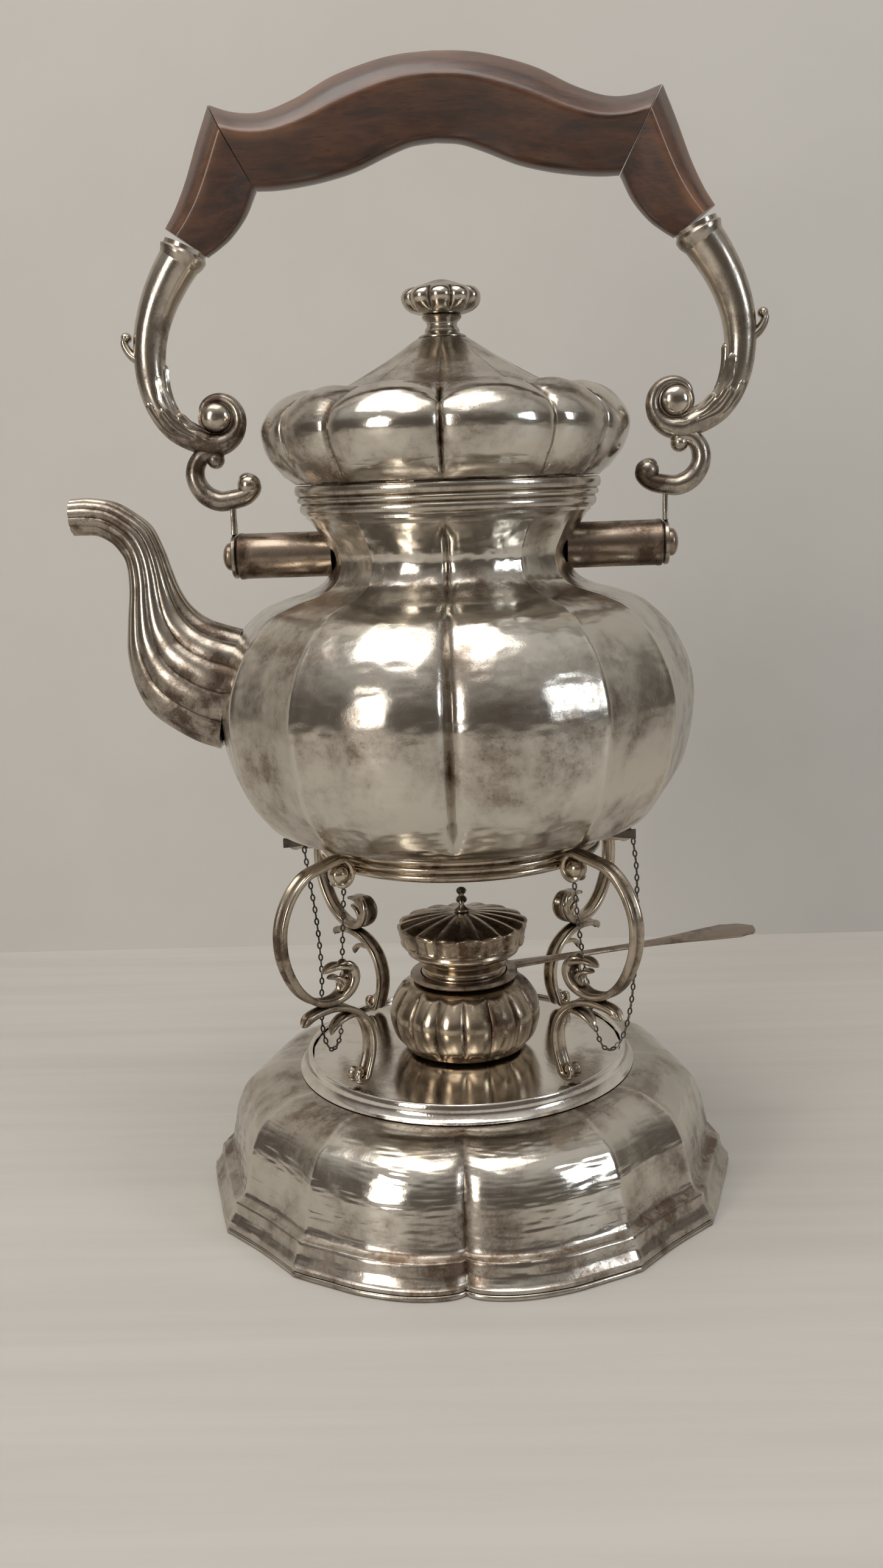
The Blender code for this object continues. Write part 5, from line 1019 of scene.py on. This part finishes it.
def leaf_on(path, radius, start, stop, lean, size, sign):
    """A raised leaf that lies along a bar from its rounded tip at start to its thin tail at stop.

    Lean turns it round the bar from its outer side. Its section is a low bell with a
    groove down each side of a middle vein.
    """
    rows, columns = 34, 22
    at = np.linspace(start, stop, rows) * (len(path) - 1)
    spine = np.stack([np.interp(at, np.arange(len(path)), column) for column in path.T], 1)
    thick = np.interp(at, np.arange(len(path)), radius)
    ahead = np.gradient(spine, axis=0)
    ahead /= np.linalg.norm(ahead, axis=1)[:, None]
    level = np.array([0.0, 1.0, 0.0])
    out = np.cross(ahead, level) * -sign
    normal = out * math.cos(lean) + level * math.sin(lean)
    side = np.cross(ahead, normal)
    t = np.linspace(0, 1, rows)
    wide = size * 0.0030 * (1 - t) ** 0.45 * np.sqrt(np.clip(t / 0.16, 0, 1))
    wide = wide * (1 + 0.16 * np.cos(5 * math.pi * t))
    high = size * 0.0021 * (1 - 0.72 * t) * np.sqrt(np.clip(t / 0.10, 0, 1)) * (1 - t ** 6)
    a = np.linspace(0, 2 * math.pi, columns, endpoint=False)
    vein = 0.72 + 0.28 * np.cos(2 * math.pi * np.cos(a)) * np.abs(np.sin(a))
    middle = spine + normal * (0.90 * thick)[:, None]
    across = (np.cos(a)[None] * wide[:, None])[:, :, None] * side[:, None]
    rise = ((np.sin(a) * vein)[None] * high[:, None])[:, :, None] * normal[:, None]
    hollow = 0.45 * (1 - vein / vein.max())[None] + 0 * t[:, None]
    return middle[:, None] + across + rise, False, True, hollow


def make_bracket(side, sign):
    """The small S scroll under an arm, and the flat eye and stem that turn on the screw."""
    path = through(beside_axis(BRACKET_PATH, sign), 110)
    share = np.linspace(0, 1, 110)
    radius = np.interp(share, [0.0, 0.14, 0.30, 0.55, 0.75, 1.0],
                       [0.0026, 0.0030, 0.0034, 0.0037, 0.0034, 0.0026])
    ends = round_ends(110, 5, 6)
    across = np.array([0.0, 1.0, 0.0])
    tarnish_and_painted_light = 0.25 + 0.35 * np.cos(4 * math.pi * share) ** 2
    grids = [(swept(path, across, round_section(1.0, 28),
                    np.stack([radius * 1.2 * ends, radius * ends], 1)), False, True,
              tarnish_and_painted_light[:, None])]
    for spot, size in ((BRACKET_CURL, (0.0032, 0.0038, 0.0032)), (BRACKET_BALL, (0.0043, 0.0045, 0.0043))):
        grids.append((ball_at((0, 0, 0), 1.0, 20, 32) * size + beside_axis([spot], sign)[0], False, True,
                      0.15))
    inner, outer = 0.0773, 0.0791
    rim = np.array([(0.0022, inner), (0.0076, inner), (0.0080, inner + 0.0004), (0.0080, outer - 0.0004),
                    (0.0076, outer),
                    (0.0022, outer)])
    grids.append((turned_along_x(rim, sign, 72), True, True, 0.3))
    middle = (inner + outer) / 2
    stem = np.stack([np.full(14, AXIS_X + sign * middle), np.zeros(14),
                     np.linspace(TRUNNION_Z + 0.0070, TRUNNION_Z + 0.0205, 14)], 1)
    width = np.interp(np.linspace(0, 1, 14), [0, 0.3, 0.75, 1], [0.0034, 0.0024, 0.0020, 0.0026])
    rows = np.stack([width, np.full(14, 0.0009)], 1) * round_ends(14, 1, 1)[:, None]
    a = np.linspace(0, 2 * math.pi, 24, endpoint=False)
    flat = np.stack([np.sign(np.cos(a)) * np.abs(np.cos(a)) ** 0.4,
                     np.sign(np.sin(a)) * np.abs(np.sin(a)) ** 0.4], 1)
    grids.append((swept(stem, across, flat, rows), False, True, 0.3))
    new_piece(f"scroll_bracket_{side}", grids, CAST, "handle", [f"swivel_bracket_{side}"])


# Chains


def make_chain(side):
    """A chain of separate round links, each through the next and turned a quarter from it.

    A link is a ring of wire: a circle swept round an oval. Every link is the same ring
    set at an even place on the route, along the route's direction.
    """
    route = np.array(CHAIN_ROUTES[side]) + (AXIS_X, 0, 0)
    length = np.linalg.norm(np.diff(through(route, 400), axis=0), axis=1).sum()
    count = int(round(length / LINK_PITCH)) + 1
    places = through(route, count)
    ahead = np.gradient(places, axis=0)
    ahead /= np.linalg.norm(ahead, axis=1)[:, None]
    level = np.array([0.64, 0.77, 0.0])
    first = level - (ahead @ level)[:, None] * ahead
    first /= np.linalg.norm(first, axis=1)[:, None]
    second = np.cross(ahead, first)
    turn = np.radians(45 + 90 * (np.arange(count) % 2))[:, None]
    wide = first * np.cos(turn) + second * np.sin(turn)
    flat = np.cross(ahead, wide)
    around = np.linspace(0, 2 * math.pi, 12, endpoint=False)
    wire = np.linspace(0, 2 * math.pi, 6, endpoint=False)
    c, s = np.cos(around)[:, None], np.sin(around)[:, None]
    long = (LINK_HALF_LENGTH - LINK_WIRE + LINK_WIRE * np.cos(wire)[None]) * c
    broad = (LINK_HALF_WIDTH - LINK_WIRE + LINK_WIRE * np.cos(wire)[None]) * s
    thick = LINK_WIRE * np.sin(wire)[None] + 0 * c
    links = (places[:, None, None] + long[None, :, :, None] * ahead[:, None, None]
             + broad[None, :, :, None] * wide[:, None, None] + thick[None, :, :, None] * flat[:, None,
                     None])
    chain = new_piece(f"pin_chain_links_{side}", [(link, True, True, None) for link in links], BLACKENED,
                      None,
                      [f"pin_chain_{side}"], 60.0)
    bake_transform(chain)


# The burner


def flute_dark(count, r, low, high):
    """Tarnish that lies in the grooves between flutes."""
    angle = np.linspace(0, 360, 240, endpoint=False)[None]
    wave = np.abs(np.sin(count * np.radians(angle) / 2))
    return 0.7 * (1 - wave) ** 2.5 * ease(r, low, high)


def make_burner():
    """The fluted bowl, its neck with turned rings, and the lever it is drawn out by."""
    shares = ((0.480, 1.000), (0.560, 1.000), (0.640, 0.985), (0.760, 0.940), (0.860, 0.860),
              (0.985, 0.640), (1.000, 0.450),
              (0.930, 0.210), (0.820, 0.070), (0.800, 0.040), (0.690, 0.000))
    outer = through(scaled(shares, BOWL_RADIUS, BOWL_HEIGHT, BOWL_BOTTOM), 64)
    inner = outer[::-6] - (0.0012, 0.0012)
    inner[:, 1] = np.maximum(inner[:, 1], BOWL_BOTTOM + 0.0012)
    profile = np.vstack([outer, [(0.0, BOWL_BOTTOM), (0.0, BOWL_BOTTOM + 0.0012)], inner])

    def flutes(r, z, angle):
        """Sixteen flutes that fade towards the bowl's foot and its shoulder."""
        wave = np.abs(np.sin(BOWL_LOBES * np.radians(angle) / 2)) ** 0.6
        rise = ease(z, BOWL_BOTTOM, BOWL_BOTTOM + 0.0056)
        rise = rise * (1 - ease(z, BOWL_BOTTOM + 0.0235, BOWL_BOTTOM + 0.0270))
        return r * (1 - 0.055 * (1 - wave) * rise), z

    tarnish_and_painted_light = flute_dark(BOWL_LOBES, profile[:, :1], 0.019, 0.024) + 0.1
    new_piece("fluted_bowl", [(turned(profile, 240, rule=flutes), True, True, tarnish_and_painted_light)], COPPERY, "burner",
              ["burner_bowl"])

    neck = np.array((
        (0.800, 1.300), (0.800, 1.010), (1.230, 1.000), (1.290, 0.960), (1.315, 0.880), (1.290, 0.790),
        (1.220, 0.720),
        (1.000, 0.690), (0.900, 0.640), (0.850, 0.560), (0.840, 0.450), (0.900, 0.390), (0.975, 0.360),
        (0.980, 0.310),
        (0.920, 0.260), (0.930, 0.210), (0.985, 0.170), (1.000, 0.100), (1.000, 0.000),
    )) * (NECK_RADIUS, NECK_HEIGHT) + (0, NECK_BOTTOM)
    bore = 0.0051
    neck = np.vstack([[(bore, neck[0][1])], neck, [(bore, NECK_BOTTOM)]])
    new_piece("ringed_neck", [(turned(neck, 120), True, True, 0.15)], COPPERY, "burner", ["burner_neck"])

    start, reach = 0.0187, 0.1287
    shares = np.array(((0.00, 0.50), (0.08, 0.42), (0.22, 0.30), (0.42, 0.27), (0.62, 0.42), (0.80, 0.82),
                       (0.86, 0.93),
                       (0.90, 1.00), (0.93, 0.88), (0.96, 0.82), (0.985, 0.50), (1.00, 0.02)))
    edge = through(np.stack([start + shares[:, 0] * (reach - start), shares[:, 1] * 0.0088], 1), 90)
    a = np.linspace(0, 2 * math.pi, 28, endpoint=False)
    across = edge[:, 1:] * np.cos(a)[None]
    crown = np.sign(np.sin(a)) * np.abs(np.sin(a)) ** 0.6
    ridge = 1 + 0.25 * np.exp(-(np.cos(a) / 0.18) ** 2)
    high = 0.0010 * crown[None] * ridge[None] * np.minimum(1, edge[:, 1:] / 0.0012) / 1.25
    turn = math.radians(22)
    x, y = edge[:, :1] + 0 * across, across
    blade = np.stack([AXIS_X + x * math.cos(turn) - y * math.sin(turn),
                      x * math.sin(turn) + y * math.cos(turn),
                      NECK_BOTTOM + 0.0010 + high], 2)
    ring = np.array([(0.0168, NECK_BOTTOM + 0.0001), (0.0202, NECK_BOTTOM + 0.0001),
                     (0.0206, NECK_BOTTOM + 0.0006),
                     (0.0206, NECK_BOTTOM + 0.0014), (0.0202, NECK_BOTTOM + 0.0019),
                     (0.0168, NECK_BOTTOM + 0.0019)])
    new_piece("lever_blade", [(blade, False, True, 0.1), (turned(ring, 120), True, True, 0.2)], BROWNED,
              "burner",
              ["burner_lever"])


def make_snuffer():
    """The pleated cap with its sleeve, and the finial on it."""
    sleeve = NECK_RADIUS * 0.8 + 0.0003
    top = through([(0.0, CAP_TOP), (0.0050, CAP_TOP - 0.0003), (0.0120, CAP_TOP - 0.0010),
                   (0.0190, CAP_TOP - 0.0022),
                   (0.0232, CAP_BAND_TOP - 0.0002), (0.0248, CAP_BAND_TOP - 0.0010),
                   (CAP_RADIUS, CAP_BAND_TOP - 0.0020)], 40)
    band = through([(CAP_RADIUS, CAP_BAND_TOP - 0.0020), (0.0247, CAP_BAND_TOP - 0.0032),
                    (0.0243, CAP_BAND_TOP - 0.0050),
                    (0.0237, CAP_BOTTOM + 0.0014), (0.0239, CAP_BOTTOM + 0.0008), (0.0236, CAP_BOTTOM)],
                    24)[1:]
    under = np.array([(0.0224, CAP_BOTTOM), (0.0224, CAP_BAND_TOP - 0.0028),
                      (sleeve + 0.0012, CAP_BAND_TOP - 0.0016),
                      (sleeve + 0.0012, CAP_BOTTOM), (sleeve, CAP_BOTTOM), (sleeve, CAP_BAND_TOP - 0.0013),
                      (0.0, CAP_BAND_TOP - 0.0013)])
    profile = np.vstack([top, band, under])
    solid = len(top) + len(band)

    def pleats(r, z, angle):
        """Pleats fan out from the middle: the top falls into sharp folds and the band into flutes."""
        wave = np.abs(np.sin(CAP_LOBES * np.radians(angle + 4 * r / CAP_RADIUS) / 2)) ** 0.8
        outside = (np.arange(len(r)) < solid)[:, None]
        strength = ease(r, 0.0030, 0.0225) * outside
        foot = 1 - 0.6 * (1 - ease(z, CAP_BOTTOM, CAP_BOTTOM + 0.003))
        drop = 0.0012 * (1 - wave) * strength * ease(z, CAP_BAND_TOP - 0.003, CAP_BAND_TOP)
        return r * (1 - 0.050 * (1 - wave) * ease(r, 0.0180, 0.0225) * outside * foot), z - drop

    tarnish_and_painted_light = flute_dark(CAP_LOBES, profile[:, :1], 0.004, 0.018) + 0.12
    new_piece("pleated_cap", [(turned(profile, 240, rule=pleats), False, True, tarnish_and_painted_light)], COPPERY, "snuffer",
              ["snuffer_cap"])
    shares = ((0.000, 1.000), (0.300, 0.985), (0.560, 0.930), (0.690, 0.850), (0.560, 0.750),
              (0.360, 0.690), (0.330, 0.640),
              (0.600, 0.560), (0.760, 0.480), (0.620, 0.370), (0.330, 0.300), (0.300, 0.240),
              (0.560, 0.150), (1.000, 0.060), (1.000, 0.000), (0.000, 0.000))
    finial = scaled(shares, 0.0030, 0.0092, CAP_TOP + 0.0003)
    new_piece("turned_finial", [(turned(finial, 60), False, True, 0.2)], TURNED, "snuffer",
              ["snuffer_finial"])


def keep_nodes():
    """CAD pieces whose shape is right take the finishes above."""
    kept = {
        "mirror_plate": BRIGHT, "lid_flange": BROWNED, "knob_nut": COPPERY, "wick_tube": COPPERY,
        "wick": COTTON,
        "ring_lug_left": GILT, "ring_lug_right": GILT, "kettle_lug_left": BROWNED,
        "kettle_lug_right": BROWNED,
        "hinge_pin_left": BLACKENED, "hinge_pin_right": BLACKENED, "chain_staple_left": GILT,
        "chain_staple_right": GILT,
    }
    for name, material in kept.items():
        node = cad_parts[name]
        for slot in node.material_slots:
            slot.link = "OBJECT"
            slot.material = material


# The table, the wall, the lamps and the camera


def stage_finish(name, light, dark, scale):
    """A pale painted surface with faint streaks, seen only from its front."""
    material, tree, shader, place = new_finish(name)
    stretch = tree.nodes.new("ShaderNodeMapping")
    stretch.inputs["Scale"].default_value = scale
    tree.links.new(place, stretch.inputs["Vector"])
    streaks = noise(tree, stretch.outputs[0], 1.0, 6.0, 0.6)
    tree.links.new(blended(tree, spread(tree, streaks, 0.3, 0.7), light, dark), shader.inputs["Base Color"])
    shader.inputs["Roughness"].default_value = 0.55
    shader.inputs["Specular IOR Level"].default_value = 0.25
    clear = tree.nodes.new("ShaderNodeBsdfTransparent")
    both = tree.nodes.new("ShaderNodeMixShader")
    facing = tree.nodes.new("ShaderNodeNewGeometry")
    tree.links.new(facing.outputs["Backfacing"], both.inputs[0])
    tree.links.new(shader.outputs[0], both.inputs[1])
    tree.links.new(clear.outputs[0], both.inputs[2])
    tree.links.new(both.outputs[0], tree.nodes["Material Output"].inputs["Surface"])
    return material


def stage_plane(name, corners, material):
    """A flat part of the stage from four corners."""
    mesh = bpy.data.meshes.new(name)
    mesh.from_pydata(corners, [], [(0, 1, 2, 3)])
    mesh.materials.append(material)
    plane = bpy.data.objects.new(name, mesh)
    bpy.context.scene.collection.objects.link(plane)


def make_stage():
    """A pale table that ends at a pale wall behind the kettle."""
    table = stage_finish("pale painted table", (0.55, 0.525, 0.49), (0.51, 0.485, 0.45), (3.0, 60.0, 1.0))
    wall = stage_finish("pale wall", (0.60, 0.575, 0.54), (0.57, 0.545, 0.51), (6.0, 6.0, 6.0))
    back = 0.292
    stage_plane("table_top", [(-2.5, -2.5, 0), (2.5, -2.5, 0), (2.5, 2.5, 0), (-2.5, 2.5, 0)], table)
    stage_plane("wall_plane", [(-2.5, back, -0.5), (2.5, back, -0.5), (2.5, back, 2.5), (-2.5, back, 2.5)],
                wall)


def lamp(name, place, aim, size, power, colour):
    """A soft rectangular lamp that points at a place."""
    data = bpy.data.lights.new(name, "AREA")
    data.shape = "RECTANGLE"
    data.size, data.size_y = size
    data.energy = power
    data.color = colour
    item = bpy.data.objects.new(name, data)
    item.location = place
    item.rotation_euler = (Vector(aim) - Vector(place)).to_track_quat("-Z", "Y").to_euler()
    bpy.context.scene.collection.objects.link(item)


def make_light():
    """Soft lamps from the upper left and the right, one overhead, and a dim room round them."""
    lamp("window_left", (-0.95, -1.30, 0.62), (0, 0, 0.18), (0.34, 0.80), 8.0, (1.0, 0.97, 0.92))
    lamp("window_right", (1.25, -0.75, 0.62), (0, 0, 0.18), (0.24, 0.50), 4.0, (0.82, 0.91, 1.0))
    lamp("ceiling", (-0.25, -0.35, 1.70), (0, 0, 0.1), (1.5, 1.2), 15.0, (1.0, 0.98, 0.95))
    world = bpy.data.worlds.new("soft room")
    bpy.context.scene.world = world
    world.use_nodes = True
    tree = world.node_tree
    back = tree.nodes["Background"]
    way = tree.nodes.new("ShaderNodeTexCoord").outputs["Generated"]
    split = tree.nodes.new("ShaderNodeSeparateXYZ")
    tree.links.new(way, split.inputs[0])
    up = spread(tree, split.outputs["Z"], 0.22, 0.86)
    tree.links.new(blended(tree, up, (0.120, 0.104, 0.090), (0.60, 0.58, 0.55)), back.inputs["Color"])


def make_camera():
    """The camera of the photograph: a little right of the front, above and looking down, slightly rolled."""
    yaw, pitch, roll = math.radians(2.3), math.radians(11.46), math.radians(-2.08)
    ahead = Vector((-math.sin(yaw) * math.cos(pitch), math.cos(yaw) * math.cos(pitch), -math.sin(pitch)))
    right = Vector((math.cos(yaw), math.sin(yaw), 0.0))
    above = right.cross(ahead)
    across = right * math.cos(roll) + above * math.sin(roll)
    over = above * math.cos(roll) - right * math.sin(roll)
    data = bpy.data.cameras.new("photo_camera")
    data.sensor_fit = "VERTICAL"
    data.sensor_width = data.sensor_height = 36.0
    data.lens = 36.0 * 2400.0 / 2576.0
    data.clip_start, data.clip_end = 0.01, 50.0
    camera = bpy.data.objects.new("photo_camera", data)
    turn = Matrix((across, over, -ahead)).transposed().to_4x4()
    camera.matrix_world = Matrix.Translation((0.0245, -0.5383, 0.2641)) @ turn
    bpy.context.scene.collection.objects.link(camera)
    bpy.context.scene.camera = camera


make_camera()
make_stage()
make_light()
make_base()
make_ring()
for index, leg in enumerate(LEG_NAMES):
    make_leg(leg, 45 + 90 * index)
make_body()
make_mouth()
make_spout()
make_trunnions()
make_lid()
make_grip()
for hand, way in (("left", -1), ("right", 1)):
    make_arm(hand, way)
    make_bracket(hand, way)
    make_chain(hand)
make_burner()
make_snuffer()
keep_nodes()
bpy.context.scene.view_settings.view_transform = "Standard"
